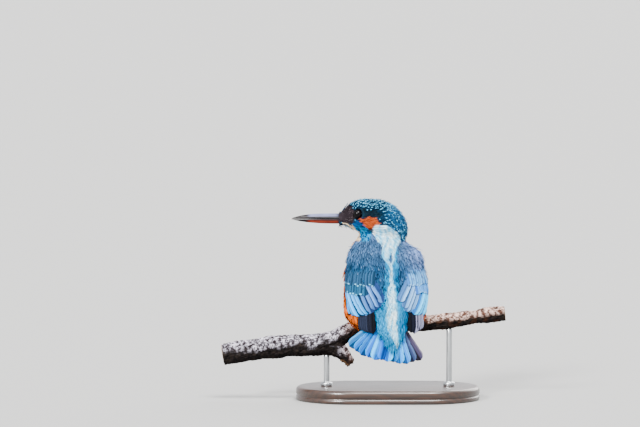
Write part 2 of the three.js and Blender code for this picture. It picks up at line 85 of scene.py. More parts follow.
floor_mesh = bpy.data.meshes.new("floor")
corners = [(x * FLOOR_HALF, y * FLOOR_HALF, 0) for x, y in ((-1, -1), (1, -1), (1, 1), (-1, 1))]
floor_mesh.from_pydata(corners, [], [(0, 1, 2, 3)])
floor = link(bpy.data.objects.new("floor", floor_mesh))
floor.data.materials.append(plain_shader("floor_paint", FLOOR_GREY, FLOOR_ROUGHNESS))

world = bpy.data.worlds.new("studio_air")
bpy.context.scene.world = world
world.use_nodes = True
world.node_tree.nodes["Background"].inputs["Color"].default_value = AIR_COLOUR
world.node_tree.nodes["Background"].inputs["Strength"].default_value = AIR_STRENGTH
print("floor", 2 * FLOOR_HALF, "m wide, air at strength", AIR_STRENGTH)

# %% Lamps
LAMPS = {
    # lamp: the way it lies, width in degrees, strength, colour
    "lamp_above": ((0.2, -0.5, 1.0), 30, 9.5, (1, 0.99, 0.97)),
    "lamp_viewer": ((-0.7, -1.1, 0.75), 14, 8.6, (1, 0.99, 0.98)),
    "lamp_breast": ((0.6, 1.0, 0.7), 50, 4.0, (1, 0.98, 0.95)),
}
for name, (towards, width, power, colour) in LAMPS.items():
    lamp = bpy.data.lights.new(name, "SUN")
    lamp.angle = math.radians(width)
    lamp.energy = power
    lamp.color = colour
    holder = link(bpy.data.objects.new(name, lamp))
    holder.location = towards
    holder.rotation_euler = Vector(towards).to_track_quat("Z", "Y").to_euler()
    print(name, "shines at strength", power)

# %% Camera
VIEW_AT = Vector((-51, 0, 139.9)) * MM
VIEW_DISTANCE = 4.0
VIEW_RISE = math.radians(4)
LENS, SENSOR = 300, 36
camera = link(bpy.data.objects.new("camera", bpy.data.cameras.new("camera")))
camera.data.lens = LENS
camera.data.sensor_width = SENSOR
camera.data.clip_end = 2.5 * FLOOR_HALF
camera.location = VIEW_AT + VIEW_DISTANCE * Vector((0, -math.cos(VIEW_RISE), math.sin(VIEW_RISE)))
camera.rotation_euler = (math.pi / 2 - VIEW_RISE, 0, 0)
bpy.context.scene.camera = camera
print("camera at", [round(v, 3) for v in camera.location])

# %% [markdown]
# ## Small tools
# Colours are written the way paint charts give them and turned into the linear values that shaders
# use. `smooth` is a soft step, `mix` blends colours, and `unit` gives arrows the length one. A ripple
# is a smooth noise for many points at once: a few crossing waves added together. The shaders' own
# noise can't be read from here, and the shapes and the colours on the meshes need one.

# %% Small tools
def paint(code):
    """A colour such as 'ff8040' as linear red, green and blue."""
    value = np.array([int(code[i : i + 2], 16) / 255 for i in (0, 2, 4)])
    return np.where(value <= 0.04045, value / 12.92, ((value + 0.055) / 1.055) ** 2.4)


def smooth(low, high, value):
    share = np.clip((value - low) / (high - low), 0, 1)
    return share * share * (3 - 2 * share)


def mix(first, second, share):
    share = np.asarray(share)[..., None]
    return first * (1 - share) + second * share


def unit(arrows):
    return arrows / np.maximum(np.linalg.norm(arrows, axis=-1, keepdims=True), 1e-12)


WAVES, WAVES_REACH = 9, 4.2  # how many waves cross, and how high they seldom add up


def ripple(points, size, seed):
    """Smooth noise between about -1 and 1, whose bumps are about size across."""
    waves = np.random.default_rng(seed)
    total = np.zeros(points.shape[:-1])
    for _ in range(WAVES):
        way = unit(waves.normal(size=3)) * waves.uniform(0.6, 1.5) * 2 * math.pi / (2 * size)
        total += np.sin(points @ way + waves.uniform(0, 2 * math.pi))
    return total / WAVES_REACH


print("orange paint is", np.round(paint("cb6214"), 3), "in linear values")

# %% [markdown]
# ## The bird's own directions
# Markings and the lie of the feathers are easier to give in the bird's own terms. The head is
# measured from between the eyes: x runs towards the bill, y to the bird's left and z up. The body
# is turned a few degrees from the frame's axes, and its x runs to its right, y to its breast. In the
# frame's own axes each marking would have to be worked out anew for the turned head.

# %% The bird's own directions
BODY_TURN = math.radians(7)
BODY_AXIS = np.array([-1, 0, 0]) * MM
CENTRE_FRONT = -2.0  # the middle of the body's section lies this far before its axis
EYE_FORWARD, EYE_RISE = 10.2 * MM, 2.3 * MM


def middle_of(node):
    low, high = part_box(node)
    return np.array((low + high) / 2)


eyes = {side: middle_of("eye_" + side) for side in ("left", "right")}
head_left = unit((eyes["left"] - eyes["right"]) * [1, 1, 0])
head_forward = np.cross(head_left, UP)
head_middle = (eyes["left"] + eyes["right"]) / 2 - head_forward * EYE_FORWARD - UP * EYE_RISE
head_axes = np.stack([head_forward, head_left, UP])
body_right = np.array([math.cos(BODY_TURN), math.sin(BODY_TURN), 0])
body_front = np.array([-math.sin(BODY_TURN), math.cos(BODY_TURN), 0])
body_axes = np.stack([body_right, body_front, UP])


def in_head(points):
    """Millimetres forward, to the left and up from the head's middle."""
    return (points - head_middle) @ head_axes.T / MM


def from_head(x, y, z):
    return head_middle + np.array([x, y, z]) * MM @ head_axes


def in_body(points):
    """Millimetres to the right, to the breast and up from the middle of the base."""
    return (points - BODY_AXIS) @ body_axes.T / MM


def from_body(x, y, z):
    return BODY_AXIS + np.stack(np.broadcast_arrays(x, y, z), axis=-1) * MM @ body_axes


def turn_at(points):
    """Degrees round the body from the middle of the back, the same on both sides."""
    body = in_body(points)
    return np.degrees(np.arctan2(np.abs(body[:, 0]), -CENTRE_FRONT - body[:, 1]))


print("the bill points", np.round(head_forward, 3), "head middle", np.round(head_middle / MM, 1))

# %% [markdown]
# ## The skin
# A kingfisher's body is one smooth form with no seams. The flesh solids are copied, swollen a little
# so that the slits between them close, melted into one mesh of small squares, and smoothed. Joining
# the solids by cuts would leave sharp seams, and a sculpted body wouldn't keep to them.

# %% Swollen solids
WINGS = ("wing_left", "wing_right")
FLESH = ("head", "neck", "trunk", "rump", *WINGS)
SWELL = 0.5 * MM
SKIN_GRAIN = 0.8 * MM


def positions(mesh):
    values = np.zeros(len(mesh.vertices) * 3, np.float32)
    mesh.vertices.foreach_get("co", values)
    return values.reshape(-1, 3).astype(float)


def normals_of(mesh):
    values = np.zeros(len(mesh.vertices) * 3, np.float32)
    mesh.vertex_normals.foreach_get("vector", values)
    return values.reshape(-1, 3).astype(float)


def swollen_copy(nodes, amount):
    """One mesh of several solids, each with its surface moved out by amount."""
    joined = bmesh.new()
    for node in nodes:
        solid = bmesh.new()
        solid.from_mesh(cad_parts[node].data)
        bmesh.ops.remove_doubles(solid, verts=solid.verts, dist=1e-6)
        solid.normal_update()
        for vertex in solid.verts:
            vertex.co += vertex.normal * amount
        piece = bpy.data.meshes.new("copy")
        solid.to_mesh(piece)
        solid.free()
        joined.from_mesh(piece)
        bpy.data.meshes.remove(piece)
    mesh = bpy.data.meshes.new("swollen")
    joined.to_mesh(mesh)
    joined.free()
    return mesh


print("the skin is made from", ", ".join(FLESH))


# %% Melting
def melted(name, mesh, grain, rounds):
    """The mesh as one even skin of squares about grain wide, smoothed a number of rounds."""
    piece = link(bpy.data.objects.new(name, mesh))
    remesh = piece.modifiers.new("melt", "REMESH")
    remesh.mode = "VOXEL"
    remesh.voxel_size = grain
    soften = piece.modifiers.new("soften", "SMOOTH")
    soften.factor = 0.5
    soften.iterations = rounds
    graph = bpy.context.evaluated_depsgraph_get()
    piece.data = bpy.data.meshes.new_from_object(piece.evaluated_get(graph), depsgraph=graph)
    piece.modifiers.clear()
    piece.data.name = name
    return piece


skin = melted("skin", swollen_copy(FLESH, SWELL), SKIN_GRAIN, 8)
print("skin:", len(skin.data.polygons), "faces")

# %% [markdown]
# Under its plumage a bird is slimmer than it looks. So the surface now sinks to the depth of the coat,
# which is least on the face, and the feathers' tips will reach back out to the solids' outline.

# %% Depth of the coat
BODY_DEPTH, HEAD_DEPTH, FACE_DEPTH, BILL_ROOT_DEPTH = 1.2, 0.9, 0.45, 0.9


def coat_depth(points):
    """How far the skin lies under the tips of the feathers."""
    head = in_head(points)
    face = smooth(2, 18, head[:, 0]) * smooth(-16, -8, head[:, 2])
    crown = smooth(-22, -14, head[:, 2])
    depth = BODY_DEPTH * (1 - crown) + HEAD_DEPTH * crown
    extra = BILL_ROOT_DEPTH * smooth(21, 27, head[:, 0])
    return (depth * (1 - face) + FACE_DEPTH * face + extra) * MM


skin_points = positions(skin.data)
depths = coat_depth(skin_points)
skin_points -= normals_of(skin.data) * (SWELL + depths)[:, None]
skin.data.vertices.foreach_set("co", skin_points.astype(np.float32).ravel())
skin.data.update()
skin.data.shade_smooth()
print("the coat is", round(depths.min() / MM, 2), "to", round(depths.max() / MM, 2), "mm deep")

# %% [markdown]
# ## Asking the skin
# Every feather starts at a root on the skin. The skin is unwrapped once, and a search tree over its
# triangles answers three things for many points at once: the nearest point of the skin, the smooth
# normal there, and the place on the unwrap, where the feather's patch of texture goes. Particle hair
# could root the feathers as well, but its strands aren't closed blades that can be measured.

# %% Unwrap
UNWRAP, UNWRAP_GAP = "OFBake", 0.004


def unwrap(piece, margin):
    bpy.context.view_layer.objects.active = piece
    piece.select_set(True)
    if UNWRAP not in piece.data.uv_layers:
        piece.data.uv_layers.new(name=UNWRAP)
    bpy.ops.object.mode_set(mode="EDIT")
    bpy.ops.mesh.select_all(action="SELECT")
    bpy.ops.uv.smart_project(angle_limit=math.radians(70), island_margin=margin)
    bpy.ops.object.mode_set(mode="OBJECT")
    piece.select_set(False)


unwrap(skin, UNWRAP_GAP)
print("unwrapped the skin as", UNWRAP)


# %% Search tree
class Surface:
    """A mesh that can be asked for nearest points, smooth normals and places on its unwrap."""

    def __init__(self, mesh):
        mesh.calc_loop_triangles()
        count = len(mesh.loop_triangles)
        corners = np.zeros(count * 3, np.int32)
        loops = np.zeros(count * 3, np.int32)
        mesh.loop_triangles.foreach_get("vertices", corners)
        mesh.loop_triangles.foreach_get("loops", loops)
        self.corners = corners.reshape(-1, 3)
        self.loops = loops.reshape(-1, 3)
        self.points = positions(mesh)
        self.normals = normals_of(mesh)
        places = np.zeros(len(mesh.loops) * 2, np.float32)
        mesh.uv_layers[UNWRAP].uv.foreach_get("vector", places)
        self.places = places.reshape(-1, 2)
        self.tree = BVHTree.FromPolygons(self.points.tolist(), self.corners.tolist())

    def shares(self, points, faces):
        """How much each corner of its triangle counts at each point."""
        a, b, c = (self.points[self.corners[faces, k]] for k in range(3))
        whole = np.cross(b - a, c - a)
        size = np.maximum((whole * whole).sum(1), 1e-30)
        second = (np.cross(points - a, c - a) * whole).sum(1) / size
        third = (np.cross(b - a, points - a) * whole).sum(1) / size
        return np.clip(np.stack([1 - second - third, second, third], axis=1), 0, 1)

    def nearest(self, points):
        """Nearest points of the surface, their smooth normals and their triangles."""
        found = [self.tree.find_nearest(point) for point in points.tolist()]
        spots = np.array([hit[0][:] for hit in found])
        faces = np.array([hit[2] for hit in found])
        return spots, self.normal_at(spots, faces), faces

    def normal_at(self, spots, faces):
        weight = self.shares(spots, faces)
        return unit((self.normals[self.corners[faces]] * weight[:, :, None]).sum(1))

    def place_at(self, spots, faces):
        weight = self.shares(spots, faces)
        return (self.places[self.loops[faces]] * weight[:, :, None]).sum(1)


hide = Surface(skin.data)
print("search tree over", len(hide.corners), "triangles")

# %% [markdown]
# ## Markings of the head
# Seen from the side, a kingfisher's head carries five fields: a dark crown with fine pale bars, a
# blackish band from the bill through the eye, an orange ear patch, a blue stripe from the bill to the
# shoulder, and a white patch on the side of the neck over a cream throat. Each is a flat outline in
# millimetres forward and up from the head's middle, and the same outline serves both sides. A list
# of corners can be measured and moved, which a hand-painted texture can't.

# %% Fields of the head
BAND = [
    (13.5, 6.2), (4, 6.9), (-5, 5.2), (-9, 1.8), (-8, -0.6), (-5.3, -0.5), (6.5, -0.5), (9.2, -2.2),
    (12.6, -2.6),
]  # fmt: skip
LORES = [(26, 9), (17, 9.4), (12.2, 6.6), (11.6, -2.9), (14, -5.2), (20, -5), (26, -4)]
EAR = [
    (9.2, -1.6), (6.3, -0.4), (-5.4, -0.3), (-8.1, -4.6), (-4, -6.4), (-0.4, -9.4), (1.9, -9),
    (6.4, -4.6),
]  # fmt: skip
MALAR = [
    (14.5, -4.9), (11.6, -2.8), (9.2, -1.9), (6.4, -4.4), (1.8, -9.1), (-0.4, -9.5), (-0.9, -12),
    (1.2, -19), (7.4, -19), (11, -10.6),
]  # fmt: skip
PATCH = [
    (-0.6, -9.3), (-5, -5.8), (-12.6, -6), (-20, -11.8), (-21.6, -16), (-21, -21), (-8, -21),
    (-4, -16.5), (-1.6, -12.6),
]  # fmt: skip
THROAT = [
    (27, -4.9), (19, -4.7), (15, -5.9), (12.2, -8.2), (9.8, -11.6), (7.6, -15.4), (6.2, -19),
    (6.2, -26), (20, -26), (27, -20),
]  # fmt: skip


def depth_in(outline, across, rise):
    """How deep points lie inside a flat outline; outside it the number is negative."""
    ends = np.array(outline, float)
    within = np.zeros(across.shape, bool)
    nearest = np.full(across.shape, 1e9)
    for (x1, z1), (x2, z2) in zip(ends, np.roll(ends, -1, axis=0)):
        run, climb = x2 - x1, z2 - z1
        share = np.clip(((across - x1) * run + (rise - z1) * climb) / (run * run + climb * climb), 0, 1)
        nearest = np.minimum(nearest, np.hypot(across - x1 - share * run, rise - z1 - share * climb))
        if climb:
            within ^= ((z1 > rise) != (z2 > rise)) & (across < x1 + run * (rise - z1) / climb)
    return np.where(within, nearest, -nearest)


patch_places = [corner[0] for corner in PATCH]
print("the white patch is", max(patch_places) - min(patch_places), "mm long")

# %% [markdown]
# ## Markings of the body
# Down the middle of the back runs the bird's brightest mark, a strip of white and ice-blue feathers
# that widens over the rump, where azure shows on both sides of it. The wings and shoulders are slate
# blue, with a painted grey-lilac sheen on the right, and the breast, flanks and the coverts below the
# tail are orange.
# `STRIPE` lists the strip's left and right edge at each height, and `AZURE` that of the rump.

# %% Fields of the body
STRIPE = [
    # height, left edge, right edge
    (40, 6.8, 9), (46, 4.4, 7.8), (53, 0, 7.2), (59, -1.6, 7), (65, -2, 6.8), (71, -1.8, 6.8),
    (77.5, -1.4, 6.2), (84, -0.6, 5.4), (90, 0.2, 4.4), (96, 0.9, 3.6), (102, 0.4, 3.2),
    (104.4, -0.8, 4.4), (106, -3.6, 5.2), (109, -5.4, 5.2), (111, -5, 5.4), (114, -4.6, 6),
    (116.5, -3.4, 6.8), (119, -5, 7.6), (121, -7.6, 8), (125, -9.4, 6.4), (127.5, -9.6, 4.4),
    (130, -10.6, 1.6), (132, -9.6, -3),
]  # fmt: skip
AZURE = [
    (40, 3, 9.5), (46, -3, 11.5), (52, -9, 14), (60, -12, 16), (68, -11.4, 15.6), (74, -8.4, 12.8),
    (80, -4.6, 9.4), (86, -2, 6.4),
]  # fmt: skip


def between(table, height, place, soft):
    """1 between the two edges that a table gives at each height, falling to 0 over soft."""
    heights, left, right = np.array(table, float).T
    from_left = place - np.interp(height, heights, left)
    from_right = np.interp(height, heights, right) - place
    return smooth(-soft, soft, np.minimum(from_left, from_right))


strip_widths = [right - left for _, left, right in STRIPE]
print("the strip is", round(min(strip_widths), 1), "to", round(max(strip_widths), 1), "mm wide")

# %% [markdown]
# The wings keep their blue out to their own edges, and that needs the distance from each point to a
# wing's solid. A search tree for each solid gives it quickly.


# %% Distance to the solids
def solid_tree(node):
    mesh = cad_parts[node].data
    return BVHTree.FromPolygons([v.co for v in mesh.vertices], [p.vertices for p in mesh.polygons])


solid_trees = {node: solid_tree(node) for node in FLESH}


def distance_to(nodes, points):
    """How far points are from the nearest of some solids' surfaces."""
    trees = [solid_trees[node] for node in nodes]
    return np.array([min(tree.find_nearest(point)[3] for tree in trees) for point in points.tolist()])


print("search trees for", len(solid_trees), "solids")

# %% [markdown]
# The fields are painted one over another, so each gets a weight between 0 and 1 at every point: its
# outline, limited to the side, height or angle round the body where it belongs. A ripple moves the
# edges a little in and out, as feather tips do. The last one painted wins.

# %% Weights of the fields
WING_EDGE = (2.5 * MM, 1.7 * MM)  # distances from a wing's solid over which its blue comes in
HEAD_FOOT = (117, 121)  # heights over which the head begins
# The crown's lower edge, higher on the cheek than on the nape: places forward, heights on the head
CROWN_HEM = ([-13, -6], [-30, -10.5])


def weights_at(points):
    """How much of each marking there is at each point, in the order in which they are painted."""
    head, body, place = in_head(points), in_body(points), points / MM
    jag = ripple(points, 1.6 * MM, 5) * 0.45
    side = np.abs(head[:, 1])
    on_head = smooth(*HEAD_FOOT, place[:, 2])
    at_back = smooth(9, 5, body[:, 1])
    turn = turn_at(points)

    def field(outline, soft=0.5):
        return smooth(-soft, soft, depth_in(outline, head[:, 0], head[:, 2]) + jag)

    wing = smooth(*WING_EDGE, distance_to(WINGS, points))
    shoulder = smooth(97, 87, turn + 8 * smooth(104, 112, place[:, 2])) * smooth(88, 96, place[:, 2])
    shoulder = np.maximum(shoulder, smooth(62, 50, turn) * smooth(64, 68, place[:, 2]))
    face = on_head * smooth(2.5, 4.5, side)
    below = on_head * smooth(-8, -10.5, head[:, 2]) * smooth(5.5, 3.5, side) * smooth(-14, -8, head[:, 0])
    front = smooth(95, 110, turn) * (1 - wing)
    weights = {"breast": np.ones(len(points))}
    weights["vent"] = smooth(60, 56, place[:, 2]) * smooth(-12, -16, body[:, 1])
    weights["back"] = np.maximum(wing, np.maximum(shoulder, (1 - front) * smooth(108, 114, place[:, 2])))
    weights["azure"] = between(AZURE, place[:, 2], place[:, 0] + jag, 0.8) * smooth(-8, -12, body[:, 1])
    hem = np.interp(head[:, 0], *CROWN_HEM)
    weights["crown"] = on_head * smooth(hem - 0.5, hem + 0.5, head[:, 2])
    neck_front = front * smooth(112, 116, place[:, 2]) * (1 - on_head)
    weights["throat"] = np.maximum(np.maximum(face * field(THROAT), below), neck_front)
    weights["malar"] = face * field(MALAR)
    weights["band"] = on_head * smooth(3, 4.5, side) * field(BAND)
    weights["lores"] = on_head * field(LORES) * smooth(1.5, 2.5, side)
    weights["ear"] = face * field(EAR)
    weights["patch"] = smooth(112, 118, place[:, 2]) * smooth(3.5, 5.5, side) * field(PATCH)
    strip = between(STRIPE, place[:, 2], place[:, 0] + jag, 0.6)
    weights["stripe"] = strip * at_back * smooth(133, 129, place[:, 2])
    return weights


skin_weights = weights_at(hide.points)
for name, weight in skin_weights.items():
    print(f"{name}: on {100 * weight.mean():.0f} % of the skin's points")

# %% [markdown]
# ## Colours
# The colours are a painter's mix: each field has a light and a dark tone, and slow noise moves between
# them, so that no field is flat. They are kept on the points of the meshes rather than in a texture,
# since every feather then takes its colour from the place where it grows.

# %% Tones
TONES = {
    # field: dark tone, light tone
    "breast": ("963a09", "cb6214"),
    "vent": ("9a400c", "c8661a"),
    "back": ("113557", "2a5d87"),
    "azure": ("00568c", "00b0f0"),
    "crown": ("04182a", "0b2c46"),
    "throat": ("c8ac84", "f0d8b4"),
    "malar": ("011a38", "0a5290"),
    "band": ("051119", "0d222e"),
    "lores": ("110d0f", "2b2429"),
    "ear": ("782a12", "aa4a1e"),
    "patch": ("80d4f4", "ffffff"),
    "stripe": ("50c8f4", "ecffff"),
}
tones = {name: (paint(dark), paint(light)) for name, (dark, light) in TONES.items()}
# the first two are painted light on the shoulders: a lilac sheen and a darker blue of shade
LILAC, SHADE_BLUE, SMOKE = paint("7890c8"), paint("0c3858"), paint("48698c")
BLACK_DOT = (0.2, -10.1)  # millimetres forward and up from the head's middle
BLUE_DOT = (1.6, 106.4)  # where the white parts at the foot of the neck: across and up
CYAN, DEEP, DARK = paint("00aadc"), paint("033a70"), paint("080a12")
print("tones for", len(tones), "fields")

# %% [markdown]
# A few fields have more than two tones. The blue of the shoulders has a painted lilac sheen towards the
# right and painted shade in a darker pool on the left shoulder. Cyan streaks run through the whites, and
# painted shade deepens the rump's right edge. Where the ear patch, the cheek stripe and the white meet, a
# small black dot is painted.


# %% The colour of a field
def field_colour(name, points, slow, fine):
    """The colour of one field at each point, from two noises between 0 and 1."""
    place, body, head = points / MM, in_body(points), in_head(points)
    side = np.abs(body[:, 0])
    own = mix(*tones[name], np.clip(0.55 * slow + 0.45 * fine, 0, 1))
    if name == "back":
        right = smooth(6, 26, body[:, 0])
        high = smooth(98, 112, place[:, 2])
        own = mix(own, SMOKE, 0.35 * high)
        # painted sheen: lilac towards the right and high up on the shoulders
        lilac_sheen = 0.6 * right * fine + 0.4 * right * high + 0.2 * high * slow
        own = mix(own, LILAC, np.clip(lilac_sheen, 0, 0.9))
        # painted shade: a darker pool on the left shoulder
        painted_shade = smooth(-13, -18, place[:, 0])
        painted_shade = painted_shade * smooth(85, 90, place[:, 2]) * smooth(104, 98, place[:, 2])
        own = mix(own, SHADE_BLUE, 0.75 * painted_shade)
    if name in ("stripe", "azure"):  # the strip's silky edges and the rump's sides are turquoise
        inside = between(STRIPE, place[:, 2], place[:, 0], 1.6)
        cyan = 0.75 * (1 - inside) if name == "stripe" else 0.6 * smooth(0.0, 0.35, inside)
        own = mix(own, CYAN, cyan)
    if name == "azure":
        # painted shade: the rump's right edge is deeper blue
        own = mix(own, DEEP, 0.5 * smooth(9, 12, place[:, 0]))
    if name in ("stripe", "patch"):  # cyan streaks run through the white
        on_neck = smooth(101, 106, place[:, 2])
        streaks = ripple(place * [1, 1, 0.35], 1.8, 23) + 0.3 * on_neck
        own = mix(own, CYAN, 0.7 * smooth(0.25, 0.75, streaks))
    if name == "crown":  # lighter over the nape
        own = own * (1 + 3.2 * smooth(-9, -18, head[:, 0]))[:, None]
    if name == "malar":  # the blue stripe is brightest low on the cheek
        own = mix(own, CYAN, 0.45 * smooth(-6, -9, head[:, 2]) * smooth(0.2, 0.7, fine))
    if name in ("breast", "vent"):  # painted shadow under the tips of the primaries
        shade = smooth(70, 67, place[:, 2]) * smooth(57, 60, place[:, 2])
        shade = shade * smooth(-14, -17, body[:, 1]) * smooth(25, 23, side)
        own = mix(own, DARK, shade)
    if name == "breast":  # paler between the legs
        own = mix(own, tones["throat"][1], 0.35 * smooth(64, 56, place[:, 2]) * smooth(12, 6, side))
    return own


middling = np.array([0.5])
rump_back = from_body(np.array([0.0]), -20, 60)
print("azure on the rump:", np.round(field_colour("azure", rump_back, middling, middling)[0], 3))


# %% Plumage
def with_dots(colour, points):
    """Adds the black dot on the cheek and the blue parting at the foot of the neck."""
    place, body, head = points / MM, in_body(points), in_head(points)
    off_dot = np.hypot(head[:, 0] - BLACK_DOT[0], head[:, 2] - BLACK_DOT[1])
    dot = smooth(2.9, 1.5, off_dot) * smooth(3, 5, np.abs(head[:, 1]))
    colour = mix(colour, DARK, 0.85 * dot)
    across = np.abs(place[:, 0] - BLUE_DOT[0])
    up = place[:, 2] - BLUE_DOT[1]
    parting = np.hypot(1.3 * across, 0.55 * up) + 0.8 * across * smooth(0, -2, up)
    parting = parting + 1.2 * (ripple(place, 1.1, 31) - 0.5)
    return mix(colour, DEEP, 0.9 * smooth(2.2, 0.8, parting) * smooth(0, -6, body[:, 1]))


def plumage(points, weights=None):
    """The coat's colour at each point."""
    weights = weights or weights_at(points)
    slow = 0.5 + 0.5 * ripple(points, 5 * MM, 3)
    fine = 0.5 + 0.5 * ripple(points, 1.3 * MM, 9)
    colour = np.zeros(points.shape)
    for name, weight in weights.items():
        colour = mix(colour, field_colour(name, points, slow, fine), weight)
    return with_dots(colour, points)


def write_colours(mesh, name, colours):
    layer = mesh.color_attributes.new(name, "FLOAT_COLOR", "POINT")
    values = np.ones((len(colours), 4), np.float32)
    values[:, :3] = colours
    layer.data.foreach_set("color", values.ravel())


skin_colours = plumage(hide.points, skin_weights)
write_colours(skin.data, "coat", skin_colours)
print("the skin's mean colour is", np.round(skin_colours.mean(0), 3))

# %% [markdown]
# ## How a feather is made
# Each body feather is a thin closed blade: a row of cross sections from its root to its tip. A section
# has a raised middle, drooping edges and a flat belly, and its width follows the feather's outline. All
# feathers of one kind are made at once. Flat cards with a cut-out outline would be lighter, but they
# have no thickness, and a model has to be solid.

# %% Sections and outlines
TILE = [(-1, 0), (-0.5, 0.8), (0, 1.1), (0.5, 0.8), (1, 0), (0, -0.5)]  # across, rise
HAIR = [(-1, 0), (0, 1), (1, 0)]


def along_steps(count, gather=1.6):
    """Shares of the length from 0 to 1, gathered towards the tip."""
    return 1 - (1 - np.linspace(0, 1, count)) ** gather


def rounded(shares, widest=0.6, root=0.3):
    """Half width of a feather with a round tip, as a share of its greatest."""
    grown = root + (1 - root) * np.sin(np.clip(shares / widest, 0, 1) * math.pi / 2)
    tip = np.clip((shares - widest) / (1 - widest), 0, 1)
    return grown * np.sqrt(np.maximum(1 - tip**2, 0.004))


def pointed(shares, widest=0.35, root=0.5):
    """Half width of a feather that runs out to a point."""
    grown = root + (1 - root) * np.sin(np.clip(shares / widest, 0, 1) * math.pi / 2)
    return grown * np.maximum(1 - np.clip((shares - widest) / (1 - widest), 0, 1) ** 1.5, 0.06)


print("a round tip's half widths:", np.round(rounded(along_steps(8)), 2))

# %% [markdown]
# A coat gathers the blades of many feathers and builds one mesh of them. Each point keeps its colour
# and its place on the feather: how far across, how far along, and a number drawn for that feather. The
# finish uses these to draw barbs that follow each blade.

# %% A coat of feathers
PATCH_FILLED = 0.9  # how much of its square on the unwrap a feather fills


class Coat:
    """Feathers gathered for one mesh."""

    ROWS = ("points", "places", "colours", "vanes", "quads", "triangles")

    def __init__(self):
        self.rows = {name: [] for name in self.ROWS}
        self.count = 0

    def add(
        self, middles, across, out, half_width, thickness, section, camber, colours, patch, patch_size, chance
    ):
        """Lofts feathers. Middles, across and out are (feather, step, 3), and widths (feather, step)."""
        feathers, steps = middles.shape[:2]
        u, rise = np.array(section, float).T
        count = len(u)
        wide = half_width[:, :, None, None]
        thick = np.broadcast_to(thickness, half_width.shape)[:, :, None, None]
        lift = thick * rise[None, None, :, None] - camber * wide * (u**2)[None, None, :, None]
        points = middles[:, :, None] + across[:, :, None] * wide * u[None, None, :, None]
        points = points + out[:, :, None] * lift
        shape = (feathers, steps, count)
        shares = np.broadcast_to(np.linspace(0, 1, steps)[None, :, None], shape)
        sides = np.broadcast_to(u[None, None, :], shape)
        luck = np.broadcast_to(chance[:, None, None], shape)
        spread = np.stack([sides * 0.5, shares - 0.5], axis=-1)
        places = patch[:, None, None] + spread * patch_size * PATCH_FILLED
        quads, triangles = self.faces(feathers, steps, count)
        colours = np.broadcast_to(colours, points.shape)
        vanes = np.stack([sides, shares, luck], axis=-1)
        for name, row in zip(self.ROWS, (points, places, colours, vanes, quads, triangles)):
            self.rows[name].append(row.reshape(-1, row.shape[-1]))
        self.count += feathers * steps * count

    def faces(self, feathers, steps, count):
        """Quads round each blade, and a fan of triangles that closes either end."""
        ring = np.arange(count)
        following = (ring + 1) % count
        starts = self.count + np.arange(feathers)[:, None] * steps * count
        base = starts[:, :, None] + (np.arange(steps - 1) * count)[None, :, None]
        ahead = base + count
        quads = np.stack([base + ring, base + following, ahead + following, ahead + ring], axis=-1)
        fan = np.arange(1, count - 1)
        ends = starts + (steps - 1) * count
        root = np.stack([starts + 0 * fan, starts + fan + 1, starts + fan], axis=-1)
        tip = np.stack([ends + 0 * fan, ends + fan, ends + fan + 1], axis=-1)
        return quads, np.concatenate([root.reshape(-1, 3), tip.reshape(-1, 3)])

    def build(self, name, material, slot, *nodes):
        """Makes the mesh, and puts it in the place of some solids."""
        points, places, colours, vanes, quads, triangles = (
            np.concatenate(self.rows[row]) for row in self.ROWS
        )
        mesh = bpy.data.meshes.new(name)
        mesh.vertices.add(len(points))
        mesh.vertices.foreach_set("co", points.astype(np.float32).ravel())
        corners = np.concatenate([quads.ravel(), triangles.ravel()]).astype(np.int32)
        sizes = np.concatenate([np.full(len(quads), 4), np.full(len(triangles), 3)])
        mesh.loops.add(len(corners))
        mesh.loops.foreach_set("vertex_index", corners)
        mesh.polygons.add(len(sizes))
        starts = np.concatenate([[0], np.cumsum(sizes)[:-1]]).astype(np.int32)
        mesh.polygons.foreach_set("loop_start", starts)
        mesh.update(calc_edges=True)
        corner_places = places[corners].astype(np.float32)
        mesh.uv_layers.new(name=UNWRAP).uv.foreach_set("vector", corner_places.ravel())
        write_colours(mesh, "coat", colours)
        write_colours(mesh, "vane", vanes)
        mesh.materials.append(material)
        mesh.shade_smooth()
        piece = link(bpy.data.objects.new(name, mesh))
        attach(piece, "root")
        if nodes:
            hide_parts(*nodes)
        print(name + ":", 2 * len(quads) + len(triangles), "triangles")
        return piece


print("a blade's row holds", ", ".join(Coat.ROWS))

# %% [markdown]
# ## Which way feathers lie
# On the head the feathers stream away from the bill and bend down over the nape and throat. On the
# body they hang down and a little backwards, towards the tail. The direction is an arrow in space, and
# each feather takes the part of it that runs along the skin. Combing by hand would work too, but a
# rule gives the same coat each time.

# %% The lie of the coat
BILL_MIDDLE = (34, 0, -1.5)


def flow(points):
    """The direction of the feathers at each point, before it is laid along the skin."""
    head = in_head(points)
    away = unit(points - from_head(*BILL_MIDDLE))
    down = np.array([0, -0.35, -1.0]) @ body_axes
    bend = np.maximum(smooth(-8, -25, head[:, 0]), smooth(-9, -18, head[:, 2]))
    bend = np.maximum(bend, smooth(124, 116, points[:, 2] / MM))
    return unit(away * (1 - 0.85 * bend)[:, None] + down * bend[:, None])


def tangent(arrows, out):
    """The part of the arrows that runs along the surface."""
    return unit(arrows - (arrows * out).sum(-1, keepdims=True) * out)


print("on the nape they point", np.round(flow(from_head(-20, 0, -10)[None])[0], 2))

# %% [markdown]
# From its root a feather walks in small steps along the skin in its own direction and rises slowly,
# until its tip lies over its neighbours. Contour feathers lie like tiles in the same way. A straight
# blade would sink into the skin or stick out wherever the body curves.


